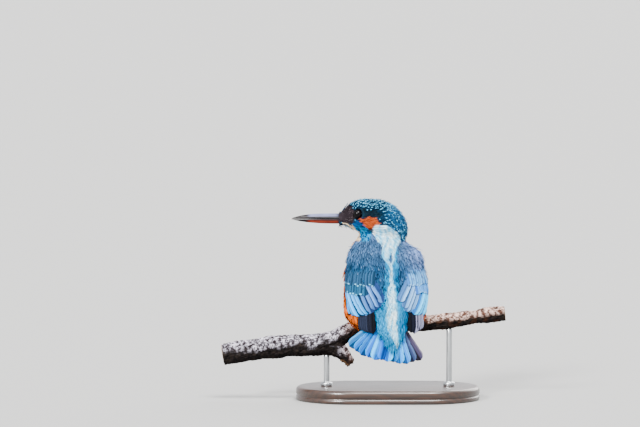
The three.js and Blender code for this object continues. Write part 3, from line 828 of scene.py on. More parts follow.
# %% Walking along the skin
def walk(surface, roots, headings, lengths, shares, heights, wrap=0.5):
    """Steps along a surface. Returns middles, across and outward arrows for each feather and step."""
    spot, out, _ = surface.nearest(roots)
    heading = tangent(headings, out)
    middles, sides, outs = [], [], []
    before = 0.0
    for k, share in enumerate(shares):
        if k:
            step = spot + heading * (lengths * (share - before))[:, None]
            landed, turned, _ = surface.nearest(step)
            keep = (turned * out).sum(1) > wrap  # past an edge the feather goes straight on
            spot = np.where(keep[:, None], landed, step)
            out = np.where(keep[:, None], turned, out)
            heading = tangent(heading, out)
        before = share
        middles.append(spot + out * heights[:, k : k + 1])
        sides.append(np.cross(heading, out))
        outs.append(out)
    return tuple(np.stack(rows, axis=1) for rows in (middles, sides, outs))


nape = from_head(-20, 0, 0)[None]
paces = walk(hide, nape, flow(nape), np.array([6 * MM]), along_steps(6), np.zeros((1, 6)))[0][0]
print("a 6 mm walk down the nape drops by", round((paces[0, 2] - paces[-1, 2]) / MM, 1), "mm")

# %% [markdown]
# Roots stand evenly but not in rows. Many places are drawn over the skin, and in a random order each is
# kept if none of those kept before is too near. A regular grid would show as a pattern.


# %% Scattering roots
def scattered(surface, spacing_at, seed, tries=150000):
    """Roots on a surface, no two nearer than the spacing there."""
    draw = np.random.default_rng(seed)
    a, b, c = (surface.points[surface.corners[:, k]] for k in range(3))
    areas = np.linalg.norm(np.cross(b - a, c - a), axis=1)
    faces = np.sort(draw.choice(len(areas), tries, p=areas / areas.sum()))
    share = np.sqrt(draw.random(tries))
    other = draw.random(tries)
    weight = np.stack([1 - share, share * (1 - other), share * other], axis=1)
    spots = (surface.points[surface.corners[faces]] * weight[:, :, None]).sum(1)
    spacing = spacing_at(spots)
    order = draw.permutation(np.flatnonzero(spacing > 0))
    tree = KDTree(len(order))
    for i, k in enumerate(order):
        tree.insert(spots[k], i)
    tree.balance()
    free = np.ones(len(order), bool)
    chosen = []
    for i, k in enumerate(order):
        if free[i]:
            chosen.append(k)
            for _, j, _ in tree.find_range(spots[k], spacing[k]):
                free[j] = False
    chosen = np.array(chosen)
    return spots[chosen], faces[chosen]


sample, _ = scattered(hide, lambda points: np.full(len(points), 6 * MM), 1, 2000)
print("roots 6 mm apart over the whole skin:", len(sample))

# %% [markdown]
# ## The look of feathers
# A feather is matt and a little silky. Its fine barbs run slantwise from the shaft, so the shader lays
# slanting ripples on each blade with a bump and paints shade into their hollows. The colours themselves
# come with the mesh. Barbs drawn on a texture would blur close up, while ripples stay sharp at any size.

# %% Wiring a material
class Nodes:
    """A short way to wire a material's nodes."""

    def __init__(self, name, roughness=0.6):
        self.material = bpy.data.materials.new(name)
        self.material.use_nodes = True
        self.tree = self.material.node_tree
        self.shader = self.tree.nodes["Principled BSDF"]
        self.set("Roughness", roughness)

    def set(self, name, value):
        if hasattr(value, "links"):
            self.tree.links.new(value, self.shader.inputs[name])
        else:
            self.shader.inputs[name].default_value = value

    def put(self, node, value):
        if hasattr(value, "links"):
            self.tree.links.new(value, node)
        elif value is not None:
            is_colour = np.ndim(value) == 1 and len(node.default_value) == 4
            node.default_value = (*value, 1) if is_colour else value

    def attribute(self, name, output="Color"):
        node = self.tree.nodes.new("ShaderNodeAttribute")
        node.attribute_name = name
        return node.outputs[output]

    def math(self, kind, first, second=None, third=None):
        node = self.tree.nodes.new("ShaderNodeMath")
        node.operation = kind
        for socket, value in zip(node.inputs, (first, second, third)):
            self.put(socket, value)
        return node.outputs[0]

    def split(self, vector):
        node = self.tree.nodes.new("ShaderNodeSeparateXYZ")
        self.put(node.inputs[0], vector)
        return node.outputs

    def stretched(self, vector, stretch):
        node = self.tree.nodes.new("ShaderNodeMapping")
        node.inputs["Scale"].default_value = stretch
        self.tree.links.new(vector, node.inputs["Vector"])
        return node.outputs[0]

    def place(self, stretch=(1, 1, 1)):
        """Position in the object, stretched."""
        return self.stretched(self.tree.nodes.new("ShaderNodeTexCoord").outputs["Object"], stretch)

    def noise(self, size, detail=3, where=None):
        """Smooth noise from 0 to 1 whose bumps are about size across."""
        node = self.tree.nodes.new("ShaderNodeTexNoise")
        node.inputs["Scale"].default_value = 0.5 / size
        node.inputs["Detail"].default_value = detail
        self.tree.links.new(where or self.place(), node.inputs["Vector"])
        return node.outputs["Fac"]

    def range(self, value, low, high, to_low=0.0, to_high=1.0):
        node = self.tree.nodes.new("ShaderNodeMapRange")
        for socket, number in zip(node.inputs, (value, low, high, to_low, to_high)):
            self.put(socket, number)
        return node.outputs[0]

    def blend(self, kind, share, first, second):
        node = self.tree.nodes.new("ShaderNodeMix")
        node.data_type = "RGBA"
        node.blend_type = kind
        self.put(node.inputs[0], share)
        self.put(node.inputs[6], first)
        self.put(node.inputs[7], second)
        return node.outputs[2]

    def bump(self, height, distance, strength=1.0):
        node = self.tree.nodes.new("ShaderNodeBump")
        node.inputs["Strength"].default_value = strength
        node.inputs["Distance"].default_value = distance
        self.tree.links.new(height, node.inputs["Height"])
        self.set("Normal", node.outputs[0])


print("shaders count in metres, so a bump of 0.05 mm is", 0.05 * MM)


# %% Feather finish
FEATHER_SHINE = 0.03
BARB_SLANT = 0.16  # how much nearer to the root a barb starts than it ends


def feather_finish(name, barbs, depth=0.2, roughness=0.62, streaks=0, contrast=0.25):
    """barbs ripples run across one feather between root and tip, and streaks lines run along it."""
    nodes = Nodes(name, roughness)
    across, along, _ = nodes.split(nodes.attribute("vane", "Vector"))
    sweep = nodes.math("MULTIPLY", nodes.math("ABSOLUTE", across), BARB_SLANT)
    slant = nodes.math("SUBTRACT", along, sweep)
    wave = nodes.math("SINE", nodes.math("MULTIPLY", slant, barbs * 2 * math.pi))
    ripples = nodes.math("MULTIPLY_ADD", wave, 0.5, 0.5)
    felt = nodes.noise(0.35 * MM)
    # painted shade in the hollows between the barbs
    shade = nodes.math("MULTIPLY_ADD", ripples, depth, 1 - depth)
    shade = nodes.math("MULTIPLY", shade, nodes.range(felt, 0.3, 0.7, 0.88, 1.08))
    if streaks:
        lengthwise = nodes.stretched(nodes.attribute("vane", "Vector"), (1, 0.12, 40))
        lines = nodes.noise(0.5 / streaks, 2, lengthwise)
        shade = nodes.math("MULTIPLY", shade, nodes.range(lines, 0.3, 0.7, 1 - contrast, 1 + contrast))
    colour = nodes.tree.nodes.new("ShaderNodeVectorMath")
    colour.operation = "SCALE"
    nodes.put(colour.inputs[0], nodes.attribute("coat"))
    nodes.put(colour.inputs["Scale"], shade)
    nodes.set("Base Color", colour.outputs[0])
    nodes.bump(nodes.math("ADD", ripples, felt), 0.05 * MM)
    nodes.set("Specular IOR Level", FEATHER_SHINE)
    return nodes.material


finish = feather_finish("small_feathers", 7, 0.14)
print("made", finish.name)

# %% [markdown]
# Between the feathers the skin itself shows here and there. It takes the same colours, with painted shade
# in the hollows of a felt of fine down, so that a gap in the coat looks like shade and not like a hole.


# %% Down on the skin
DOWN_SHADE = (0.7, 0.7, 0.7)


def down_finish():
    nodes = Nodes("skin_down", 0.8)
    felt = nodes.noise(0.5 * MM, 4)
    # painted shade in the felt's hollows
    hollows = nodes.range(felt, 0.35, 0.65, 0.5, 0)
    nodes.set("Base Color", nodes.blend("MULTIPLY", hollows, nodes.attribute("coat"), DOWN_SHADE))
    nodes.bump(felt, 0.2 * MM)
    nodes.set("Specular IOR Level", FEATHER_SHINE)
    return nodes.material


skin.data.materials.clear()
skin.data.materials.append(down_finish())
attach(skin, "root")
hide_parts(*FLESH)
print("the skin stands for", len(FLESH), "solids")

# %% [markdown]
# ## The body's coat
# Every field has its own kind of feather: tiny stiff ones on the face, small scales on the crown, broad
# tiles on the shoulders and breast. The white patch, the back's strip and the rump are silky: there each
# root carries a lock of loose barbs instead of a closed blade. One kind of feather everywhere would be
# simpler, but the bird would look scaled like a fish. `KINDS` gives, in millimetres, how far apart the
# roots are, and each feather's length, width and rise of the tip over the skin.

# %% Kinds of feather
KINDS = {
    # field: spacing, length, width, rise, wander in degrees, barbs in a lock (0 for a closed blade)
    "crown": (1.05, 3.2, 1.2, 1.0, 13, 0),
    "band": (0.85, 2.2, 0.95, 0.45, 8, 0),
    "lores": (0.8, 2.3, 0.5, 0.55, 14, 0),
    "ear": (0.95, 3.2, 0.9, 0.55, 8, 0),
    "malar": (1.0, 3.4, 1.0, 0.65, 9, 0),
    "throat": (1.0, 3.6, 1.0, 0.8, 9, 0),
    "patch": (1.1, 5.5, 0.56, 0.8, 9, 7),
    "back": (1.3, 6.0, 1.38, 1.15, 10, 0),
    "stripe": (1.2, 7.5, 0.62, 1.2, 8, 7),
    "azure": (1.25, 8.0, 0.54, 1.4, 9, 6),
    "breast": (1.6, 6.4, 1.9, 1.3, 10, 0),
    "vent": (1.6, 8.5, 2.0, 1.4, 10, 0),
}
LAST_MARK = 0.5
# Below this height the folded wings carry rows of quills instead of tiles, lower next to the back
QUILLS_TOP = ([15, 45, 75], [84, 90, 93])  # degrees from the back, height
names = list(KINDS)
sizes = np.array([KINDS[name] for name in names])
print("kinds of feather:", len(names))


# %% Roots
ON_WING = 2 * MM  # nearer to a wing's solid than this is the wing
AHEAD = 2.4 * MM  # a feather shows the colour of the place so far ahead of its root


def kind_at(points):
    """Index into KINDS of the marking painted last at each point, with the weights of all."""
    weights = weights_at(points)
    kind = np.full(len(points), names.index("breast"))
    for name, weight in weights.items():
        kind[weight > LAST_MARK] = names.index(name)
    return kind, weights


def spacing_at(points):
    """How far apart roots stand at each point, and 0 where no feather of the coat grows."""
    kind, _ = kind_at(points)
    wings = distance_to(WINGS, points) < ON_WING
    turn = turn_at(points)
    quills = wings & (kind == names.index("back")) & (points[:, 2] < np.interp(turn, *QUILLS_TOP) * MM)
    return np.where(quills, 0, sizes[kind, 0] * MM)


roots, root_faces = scattered(hide, spacing_at, 21)
lie = tangent(flow(roots), hide.normal_at(roots, root_faces))
ahead = hide.nearest(roots + lie * AHEAD)[0]
kinds, ahead_weights = kind_at(ahead)
# A feather belongs to one field, so its colour isn't a blend of two
own_field = {name: smooth(0.4, 0.6, weight) for name, weight in ahead_weights.items()}
root_colours = plumage(ahead, own_field)
root_places = hide.place_at(roots, root_faces)
root_chance = np.random.default_rng(11).random(len(roots))
print("roots:", {name: int((kinds == k).sum()) for k, name in enumerate(names)})

# %% [markdown]
# No feather is of one colour. It is darker at its root and along its shaft. Each crown feather has a
# pale blue bar near its tip, a few of the back's have a paler tip, and those of the breast end lighter.

# %% Colours along one feather
BAR, SPOT, ICE, BRISTLE = paint("6cc8f4"), paint("6c8cb8"), paint("ffffff"), paint("8b7f80")


def tile_colours(name, base, shares, section, chance, rises):
    """The colour of each point of closed feathers, from each one's base colour and height on the head."""
    u = np.array([corner[0] for corner in section])[None, None, :]
    t = shares[None, :, None]
    luck = chance[:, None, None]
    strength = 0.82 + 0.36 * ((luck * 7.3) % 1)
    colour = base[:, None, None, :] * (strength * (0.82 + 0.25 * np.abs(u) + 0 * t))[..., None]
    if name == "crown":
        rise = rises[:, None, None]
        speckled = luck < 0.32 + 0.45 * smooth(2, 9, rise) + 0.3 * smooth(0, -9, rise)
        bar = smooth(0.68, 0.78, t) * smooth(0.97, 0.9, t) * speckled * smooth(1.2, 0.5, np.abs(u))
        tint = 0.5 + 0.8 * ((luck * 5.3) % 1) * (0.5 + 0.5 * smooth(3, 9, np.abs(rise)))
        colour = mix(colour, BAR * tint[..., None], bar * 0.95)
    elif name == "back":
        fate = (luck * 3.7) % 1
        pale = 0.5 * smooth(0.75, 1, fate) * smooth(0.55, 0.95, t) + 0 * u
        colour = mix(colour * (0.8 + 0.3 * smooth(0.05, 0.35, fate))[..., None], SPOT, pale)
        colour = colour * (1 - 0.3 * smooth(0.4, 0, np.abs(u)) * smooth(1, 0.7, t))[..., None]
    elif name in ("breast", "vent"):
        colour = mix(colour, colour * 1.2, smooth(0.6, 1, t) + 0 * u)
    elif name == "lores":
        colour = mix(colour, BRISTLE, (luck > 0.8) * smooth(0.5, 0.9, t) * 0.6 + 0 * u)
    return np.clip(colour, 0, 1)


trial = tile_colours("crown", paint("04182a")[None], along_steps(6), TILE, np.array([0.1]), np.zeros(1))
print("one crown feather:", trial.shape[1], "rows of", trial.shape[2], "colours")


# %% Closed feathers
TILE_THICKNESS, HAIR_THICKNESS = 0.14 * MM, 0.1 * MM
TILE_CAMBER = 0.28  # how far the sides droop, as a share of the half width
PATCH_SIZE = 0.003  # each feather's square on the unwrap, as a share of its width
SUNK = 0.3 * MM  # the roots lie so far under the skin


def lay_tiles(coat, chosen, name):
    """Closed blades of one kind, each on one of the chosen roots."""
    _, length, width, rise, wander, _ = KINDS[name]
    count = len(chosen)
    draw = np.random.default_rng(names.index(name) + 100)
    small = width < 1.5
    section = [TILE[0], TILE[2], TILE[4], TILE[5]] if small else TILE
    shares = along_steps(6 if small else 8)
    spots, turn = roots[chosen], np.radians(draw.normal(0, wander, count))
    out = hide.normal_at(spots, root_faces[chosen])
    heading = tangent(flow(spots), out)
    heading = heading * np.cos(turn)[:, None] + np.cross(out, heading) * np.sin(turn)[:, None]
    lengths = length * MM * draw.uniform(0.82, 1.16, count)
    top = rise * MM * draw.uniform(0.75, 1.2, count)
    if name in ("crown", "back"):  # now and then a feather stands up, which roughens the outline
        top = top * np.where(draw.random(count) < 0.14, draw.uniform(1.4, 2.3, count), 1)
    heights = -SUNK + (top + SUNK)[:, None] * shares[None, :] ** 0.8
    middles, across, outs = walk(hide, spots, heading, lengths, shares, heights)
    outline = pointed(shares) if name == "lores" else rounded(shares)
    fray = 1 + draw.uniform(-0.16, 0.1, (count, len(shares))) * smooth(0.4, 0.9, shares)
    half = outline[None, :] * fray * width / 2 * MM * draw.uniform(0.88, 1.12, count)[:, None]
    rises = in_head(spots)[:, 2]
    colours = tile_colours(name, root_colours[chosen], shares, section, root_chance[chosen], rises)
    thick = HAIR_THICKNESS if small else TILE_THICKNESS
    coat.add(
        middles, across, outs, half, thick, section, TILE_CAMBER, colours,
        root_places[chosen], PATCH_SIZE, root_chance[chosen],
    )  # fmt: skip


print("closed feathers on:", ", ".join(name for name in names if not KINDS[name][5]))


# %% Silky locks
def lay_locks(coat, chosen, name):
    """Silky feathers: each root carries several loose barbs that spread a little."""
    _, length, width, rise, wander, barbs = KINDS[name]
    draw = np.random.default_rng(names.index(name) + 200)
    chosen = np.repeat(chosen, barbs)
    strand = np.tile((np.arange(barbs) + 0.5) / barbs * 2 - 1, len(chosen) // barbs)
    count = len(chosen)
    shares = along_steps(7, 1.2)
    spots = roots[chosen]
    out = hide.normal_at(spots, root_faces[chosen])
    heading = tangent(flow(spots), out)
    side = np.cross(heading, out)
    forward = draw.uniform(-0.5, 0.5, count)
    spots = spots + side * (strand * 0.55 * MM)[:, None] + heading * (forward * MM)[:, None]
    lock_turn = np.repeat(draw.normal(0, wander, count // barbs), barbs)
    turn = np.radians(strand * 6 + lock_turn + draw.normal(0, 5, count))
    heading = heading * np.cos(turn)[:, None] - side * np.sin(turn)[:, None]
    lengths = length * MM * draw.uniform(0.6, 1.15, count)
    top = rise * MM * draw.uniform(0.5, 1.25, count)
    heights = -SUNK + (top + SUNK)[:, None] * np.sin(shares * 1.9)[None, :] ** 1.1
    middles, across, outs = walk(hide, spots, heading, lengths, shares, heights)
    half = pointed(shares)[None, :] * width / 2 * MM * draw.uniform(0.7, 1.3, count)[:, None]
    luck = draw.random(count)
    base = root_colours[chosen][:, None, None]
    if name != "azure":  # these locks take the marking below each of their points
        base = plumage(middles.reshape(-1, 3)).reshape(middles.shape)[:, :, None]
    pale = {"patch": 0.4, "stripe": 0.4, "azure": 0.0}[name]
    t = shares[None, :, None]
    lightness = (0.5 + 0.7 * luck if name == "azure" else 0.92 + 0.2 * luck)[:, None, None]
    root_shade = (0.75 + 0.25 * t if name == "azure" else 0.92 + 0.08 * t)[..., None]
    iced = pale * smooth(0.05, 0.4, t) * smooth(0.15, 0.5, luck)[:, None, None] + np.zeros((1, 1, 3))
    iced = iced * smooth(0.35, 0.8, base[..., 0])  # markings stay free of it
    colours = mix(base * lightness[..., None] * root_shade, ICE, iced)
    patch = root_places[chosen] + np.stack([strand * PATCH_SIZE * 0.4, np.zeros(count)], axis=1)
    narrow = PATCH_SIZE * np.array([0.2, 1.0])
    colours = np.clip(colours, 0, 1)
    coat.add(middles, across, outs, half, HAIR_THICKNESS, HAIR, 0, colours, patch, narrow, luck)


print("silky locks on:", ", ".join(name for name in names if KINDS[name][5]))

# %% [markdown]
# ## Laying the coat
# The feathers are shared out over the pieces that the solids have: head, neck, trunk, wings and rump.
# One mesh of the whole coat would be too heavy to handle. A root goes with the solid that is nearest to it.

# %% The coat's pieces
COAT_PIECES = {
    # piece: solids, slot; the trunk's roots are shared between back and breast
    "head_coat": (("head",), "crown_feathers"),
    "neck_coat": (("neck",), "neck_feathers"),
    "back_coat": (("trunk",), "rufous_feathers"),
    "wing_coat": (WINGS, "wing_feathers"),
    "rump_coat": (("rump",), "rump_feathers"),
    "breast_coat": (("trunk",), "rufous_feathers"),
}
UNDER_QUILLS = (70, 94)  # heights between which no orange down grows below the quills
UNDER_QUILLS_TURNS = (103, 96)  # so many degrees from the back on the left and on the right
owner = np.argmin([distance_to(solids, roots) for solids, _ in COAT_PIECES.values()], axis=0)
trunk, breast = (list(COAT_PIECES).index(piece) for piece in ("back_coat", "breast_coat"))
owner[(owner == trunk) & (in_body(roots)[:, 1] > 0)] = breast
height = roots[:, 2] / MM
last_turn = np.where(in_body(roots)[:, 0] < 0, *UNDER_QUILLS_TURNS)
under_quills = (turn_at(roots) < last_turn) & (height > UNDER_QUILLS[0]) & (height < UNDER_QUILLS[1])
owner[under_quills & (kinds == names.index("breast"))] = -1  # no down pokes through the wing
for k, (piece, (solids, slot)) in enumerate(COAT_PIECES.items()):
    coat = Coat()
    for i, name in enumerate(names):
        chosen = np.flatnonzero((owner == k) & (kinds == i))
        if len(chosen):
            (lay_locks if KINDS[name][5] else lay_tiles)(coat, chosen, name)
    coat.build(piece, finish, slot)


# %% [markdown]
# ## Quills of the wings
# A folded wing shows its long feathers as rows: a few primaries at the outer edge, the secondaries
# along the lower one, the rounder tertials next to the back, and over their roots two rows of coverts
# with pale spots. Each inner feather lies on the one outside it, like tiles, so only its outer half
# shows. A quill is a long blade with a raised shaft. It is laid along the skin between two places, each
# an angle round the body from the middle of the back and a height. A walk would let each quill drift
# to its own side, and a row needs even gaps.

# %% A quill's section
QUILL = [
    (-1, 0), (-0.82, 0.5), (-0.55, 0.9), (-0.25, 1), (-0.06, 1.1), (0, 2.2), (0.06, 1.1), (0.25, 1),
    (0.55, 0.9), (0.82, 0.5), (1, 0), (0.5, -0.5), (0, -0.9), (-0.5, -0.5),
]  # fmt: skip
QUILL_STEPS = 30
QUILL_THICKNESS, QUILL_CAMBER = 0.12 * MM, 0.05
print("a quill's section has", len(QUILL), "points, and a quill", QUILL_STEPS, "of them")

# %% A quill's path
EDGE_GAP = 0.6 * MM  # a blade this far off the skin is past an edge
FAR_OUT = 60 * MM
FALLS, TIP_RISES, SLOPES = 0.12, 0.2, 0.25  # the most that a blade does so, as shares of a step
STRAIGHT_FROM = 0.7


def reach_at(angles, heights):
    """How far out the skin is, from which middle and which way. Angles are in degrees from the back."""
    turn = np.radians(angles)
    way = np.stack([np.sin(turn), -np.cos(turn), np.zeros_like(turn)], axis=-1) @ body_axes
    centre = from_body(np.zeros_like(heights), np.full_like(heights, CENTRE_FRONT), heights)
    hits = [hide.tree.ray_cast(Vector(c + w * FAR_OUT), Vector(-w))[3] for c, w in zip(centre, way)]
    return np.array([math.nan if hit is None else FAR_OUT - hit for hit in hits]), centre, way


def evened(values, window=9):
    """A row of values, each averaged with its neighbours. The row's ends keep their slope."""
    half = window // 2
    padded = np.pad(values, half, mode="reflect", reflect_type="odd")
    return np.convolve(padded, np.ones(window) / window, mode="valid")


def skin_path(root, tip, steps, rise_root, rise_tip, bow=0.0):
    """Middles, across and outward arrows of one quill. Past the wing's edge it goes straight on."""
    shares = np.linspace(0, 1, steps)
    angles = root[0] + (tip[0] - root[0]) * (shares + bow * shares * (1 - shares))
    heights = root[1] + (tip[1] - root[1]) * shares
    reach, centre, way = reach_at(angles, heights)
    slope = 0.0
    for k in range(1, steps):
        step = abs(heights[k] - heights[k - 1]) * MM
        lowest = reach[k - 1] + min(slope, 0) - FALLS * step
        if not reach[k] >= lowest:
            reach[k] = lowest
        if shares[k] > STRAIGHT_FROM:  # tips stay straight where the skin swells below them
            reach[k] = min(reach[k], reach[k - 1] + TIP_RISES * step)
        slope = np.clip(reach[k] - reach[k - 1], -SLOPES * step, SLOPES * step)
    spots = centre + way * evened(reach)[:, None]
    landed, normals, _ = hide.nearest(spots)
    for k in range(1, steps):  # in the air past an edge the blade keeps the way it faced
        if np.linalg.norm(landed[k] - spots[k]) > EDGE_GAP:
            normals[k] = normals[k - 1]
    normals = unit(np.stack([evened(part) for part in normals.T], axis=1))
    middles = spots + normals * ((rise_root + (rise_tip - rise_root) * shares) * MM)[:, None]
    heading = unit(np.gradient(middles, axis=0))
    out = tangent(normals, heading)
    return middles, np.cross(heading, out), out


trial = reach_at(np.array([0.0, 90.0]), np.array([85.0, 85.0]))[0]
print("85 mm up, back and side are", np.round(trial / MM, 1), "mm from the middle")


# %% Blades from paths
def quill_outline(shares, blunt=0.86, root=0.45):
    """Half width of a quill, whose tip rounds off from the share blunt on."""
    grown = root + (1 - root) * np.sin(np.clip(shares / 0.4, 0, 1) * math.pi / 2)
    tip = np.clip((shares - blunt) / (1 - blunt), 0, 1)
    return grown * np.sqrt(np.maximum(1 - tip**2.2, 0.003))


def cells(count):
    """Middles and size of separate patches of texture for so many quills."""
    rows = math.ceil(math.sqrt(count))
    which = np.arange(count)
    return (np.stack([which % rows, which // rows], axis=1) + 0.5) / rows, np.array([0.94, 0.94]) / rows


def lay_quills(
    coat, paths, widths, colours, blunt=0.86, thickness=QUILL_THICKNESS, seed=1, total=None, first=0
):
    """paths is a list of (middles, across, out); colours is (quill, step, section point, 3)."""
    middles, across, outs = (np.stack(rows) for rows in zip(*paths))
    count, steps = middles.shape[:2]
    draw = np.random.default_rng(seed)
    shares = np.linspace(0, 1, steps)
    fray = 1 - 0.05 * draw.random((count, steps))
    fray = fray - 0.12 * (draw.random((count, steps)) > 0.93) * (shares > 0.45)  # here and there a gap
    half = quill_outline(shares, blunt)[None, :] * np.asarray(widths)[:, None] / 2 * MM * fray
    patch, size = cells(total or count)
    patch = patch[first : first + count]
    colours = np.clip(colours, 0, 1)
    chance = draw.random(count)
    coat.add(middles, across, outs, half, thickness, QUILL, QUILL_CAMBER, colours, patch, size, chance)


def tilted(path, lean):
    """A path whose blades lean: the side that across points to goes up by lean degrees."""
    middles, across, out = path
    along, aside = math.cos(math.radians(lean)), math.sin(math.radians(lean))
    return middles, across * along + out * aside, out * along - across * aside


print("half widths of a quill:", np.round(quill_outline(np.linspace(0, 1, 6)), 2))

# %% [markdown]
# The colours of a quill change across it: the outer half is pale blue, the shaft and the inner half are
# dark, and the rim is paler still. `LOOKS` gives those tones for each row, and `WING_ROWS` its places.

# %% Rows of the wing
LOOKS = {
    # row: for the left and the right wing: outer half, inner half, rim, tip spot
    # the right wing's paler, greyer tones are a painted grey-lilac sheen
    "primary": (("141c2a", "080a12", "263248", None), ("1c2434", "0a0e16", "303a4c", None)),
    "secondary": (("2a8cd4", "06203c", "50acf0", None), ("38b4f4", "1260a8", "5cd0ff", None)),
    "tertial": (("3966a0", "162c54", "6c94cc", None), ("5a88b9", "2c507c", "88b4e0", None)),
    "greater": (("15425f", "0a2840", "2a6080", "70ccf8"), ("3c80c4", "2458a0", "549ce0", "8cccf8")),
    "median": (("1b3c57", "0e283e", "325a84", "78d0f8"), ("4a88bc", "2c609c", "68a0d4", "88c0ec")),
}
WING_ROWS = [
    # row, how many, angles and heights of the roots from outer to inner, the same of the tips, width,
    # rises over the skin, lean
    ("primary", 4, (-121, -106), (101, 92), (-74, -64), (65.4, 65), 5.2, (-0.2, 0.2), 8),
    ("secondary", 7, (-104, -64), (90, 90), (-68, -37), (66.6, 67.0), 6.8, (0.0, 1.2), 11),
    ("tertial", 5, (-64, -38), (97, 94), (-34, -13), (66.6, 74.6), 6.8, (0.3, 1.4), 10),
    ("greater", 15, (-110, -44), (95, 94), (-97, -42), (81.4, 80.2), 4.6, (0.1, 1.3), 11),
    ("median", 18, (-112, -34), (101, 98), (-102, -32), (88.4, 86.4), 4.0, (0.0, 1.4), 11),
]
quill_count = 2 * sum(row[1] for row in WING_ROWS)
print("quills on both wings:", quill_count)


# %% Colours across a quill
def quill_colours(tones, count, outer, seed):
    """Colours for quills whose outer side is towards across (1) or away from it (-1)."""
    face, inner, rim, spot = (code and paint(code) for code in tones)
    draw = np.random.default_rng(seed)
    u = np.array([corner[0] for corner in QUILL])[None, None, :] * outer
    t = np.linspace(0, 1, QUILL_STEPS)[None, :, None]
    luck, spotted = draw.random((2, count, 1, 1))
    barbs = 0.5 + 0.5 * np.sin(40 * t - 7 * np.abs(u) + 6 * luck)
    colour = mix(inner, face, smooth(0.08, 0.35, u) + 0 * t + 0 * luck)
    colour = mix(colour, rim, smooth(0.7, 0.98, u) * (0.45 + 0.5 * luck) + 0 * t)
    colour = mix(colour, inner * 0.6, smooth(0.1, 0.03, np.abs(u)) * 0.8 + 0 * t + 0 * luck)
    colour = colour * (0.78 + 0.38 * luck + 0.08 * barbs)[..., None]
    if spot is not None:
        strength = smooth(0.88, 0.93, t) * smooth(0.99, 0.95, t) * smooth(0.6, 0.2, np.abs(u - 0.25))
        strength = strength * (0.3 + 0.7 * luck)
        colour = mix(colour, spot, strength * (spotted < 0.6))
    return colour


trial = quill_colours(LOOKS["greater"][0], 3, 1, 1)
print("three coverts' brightest values:", np.round(trial.max(axis=(1, 2, 3)), 2))

# %% Laying the rows
ROW_BOW = 0.12  # how much a quill bends sideways between root and tip
wing_quills = Coat()
laid = 0
for side, sign in (("left", 1), ("right", -1)):
    for row, facts in enumerate(WING_ROWS):
        look, count, root_turns, root_heights, tip_turns, tip_heights, width, rises, lean = facts
        draw = np.random.default_rng(row + 40 * sign + 50)
        share = np.linspace(0, 1, count)
        low = {"secondary": 0.7, "tertial": 2.0}.get(look, 0) * np.sin(share * math.pi)
        paths = []
        for i in range(count):
            places = (root_turns, root_heights, tip_turns, tip_heights)
            root_turn, root_height, tip_turn, tip_height = (
                np.interp(share[i], [0, 1], ends) for ends in places
            )
            root = (sign * root_turn, root_height)
            tip_turn = sign * (tip_turn + draw.normal(0, 1.1))
            tip = (tip_turn, tip_height - low[i] + draw.normal(0, 0.6))
            lifted = share[i] * 0.8
            path = skin_path(root, tip, QUILL_STEPS, rises[0] + lifted, rises[1] + lifted, bow=ROW_BOW)
            paths.append(tilted(path, sign * lean))
        colours = quill_colours(LOOKS[look][side == "right"], count, sign, row + 7)
        widths = width * draw.uniform(0.88, 1.12, count)
        lay_quills(wing_quills, paths, widths, colours, seed=row, total=quill_count, first=laid)
        laid += count
quill_finish = feather_finish("long_feathers", 46, 0.14, 0.5, streaks=5)
wing_quills.build("wing_quills", quill_finish, "wing_feathers")

# %% [markdown]
# ## Flank feathers
# Along the folded wing's lower edge the long feathers of the flank curl over it, and from behind they
# show as an orange fringe beside the blue. They are rooted on the flank in front of the wing, point
# down and back, and their tips stand a few millimetres proud. They are laid like quills, as a walk
# along the skin would lead them down and never over the wing.

# %% Flank fringe
FLANK_FEATHERS = {1: 280, -1: 100}  # on the left, where the breast bulges, and on the right
FLANK_TURNS, FLANK_HEIGHTS = (-134, -118), (63, 103)
FLANK_OVERLAP = {1: (22, 30), -1: (10, 20)}  # how many degrees a feather runs towards the back
LOW_FLANK = {1: 26, -1: 0}  # how many degrees nearer to the back the lowest ones start
FLANK_STEPS = 12
flank, draw = [], np.random.default_rng(61)
for sign in (1, -1):
    for _ in range(FLANK_FEATHERS[sign]):
        height = draw.uniform(*FLANK_HEIGHTS)
        low = smooth(90, 72, height)
        nearer_back = LOW_FLANK[sign] * low
        turn = draw.uniform(FLANK_TURNS[0] + 0.5 * nearer_back, FLANK_TURNS[1] + nearer_back)
        overlap = draw.uniform(*FLANK_OVERLAP[sign]) * (1 - 0.12 * smooth(86, 100, height))
        tip = (sign * (turn + overlap), height - draw.uniform(8, 12))
        rises = (0.1 + 1.5 * low, draw.uniform(2.2, 3.4))
        flank.append(skin_path((sign * turn, height), tip, FLANK_STEPS, *rises))
middles, across, outs = (np.stack(rows) for rows in zip(*flank))
count = len(flank)
half = rounded(np.linspace(0, 1, FLANK_STEPS))[None, :] * draw.uniform(0.75, 1.05, count)[:, None] * MM
tints = mix(*tones["breast"], draw.random(count)) * draw.uniform(0.85, 1.15, (count, 1))
patch, size = cells(count)
tints = tints[:, None, None]
chance = draw.random(count)
fringe = Coat()
fringe.add(middles, across, outs, half, TILE_THICKNESS, TILE, TILE_CAMBER, tints, patch, size, chance)
fringe.build("flank_fringe", finish, "rufous_feathers")

# %% [markdown]
# ## Tips of the primaries
# Below each wing's edge the tips of the primaries stick out as a dark block over the tail's root. They
# are straight stiff blades, so they are laid between points of the body's frame rather than on the
# skin, which ends there. The same ends, in millimetres, are used for both wings, mirrored. The left
# tips are nearly black, and the right ones have a painted grey-lilac sheen. The two inner tips of each
# block are painted darker, as shadow.

# %% Straight quills
PRIMARY_OUTER = ((21.9, -20.8, 71), (22.5, -25.8, 54.6))
PRIMARY_INNER = ((14.5, -24.4, 71), (14.2, -29.9, 52.0))
LEFT_LIFT = 0.8  # the back bulges more on its left
PRIMARY_FACING = np.array([0.3, -1, -0.1])
PRIMARIES_SHOWN = 7


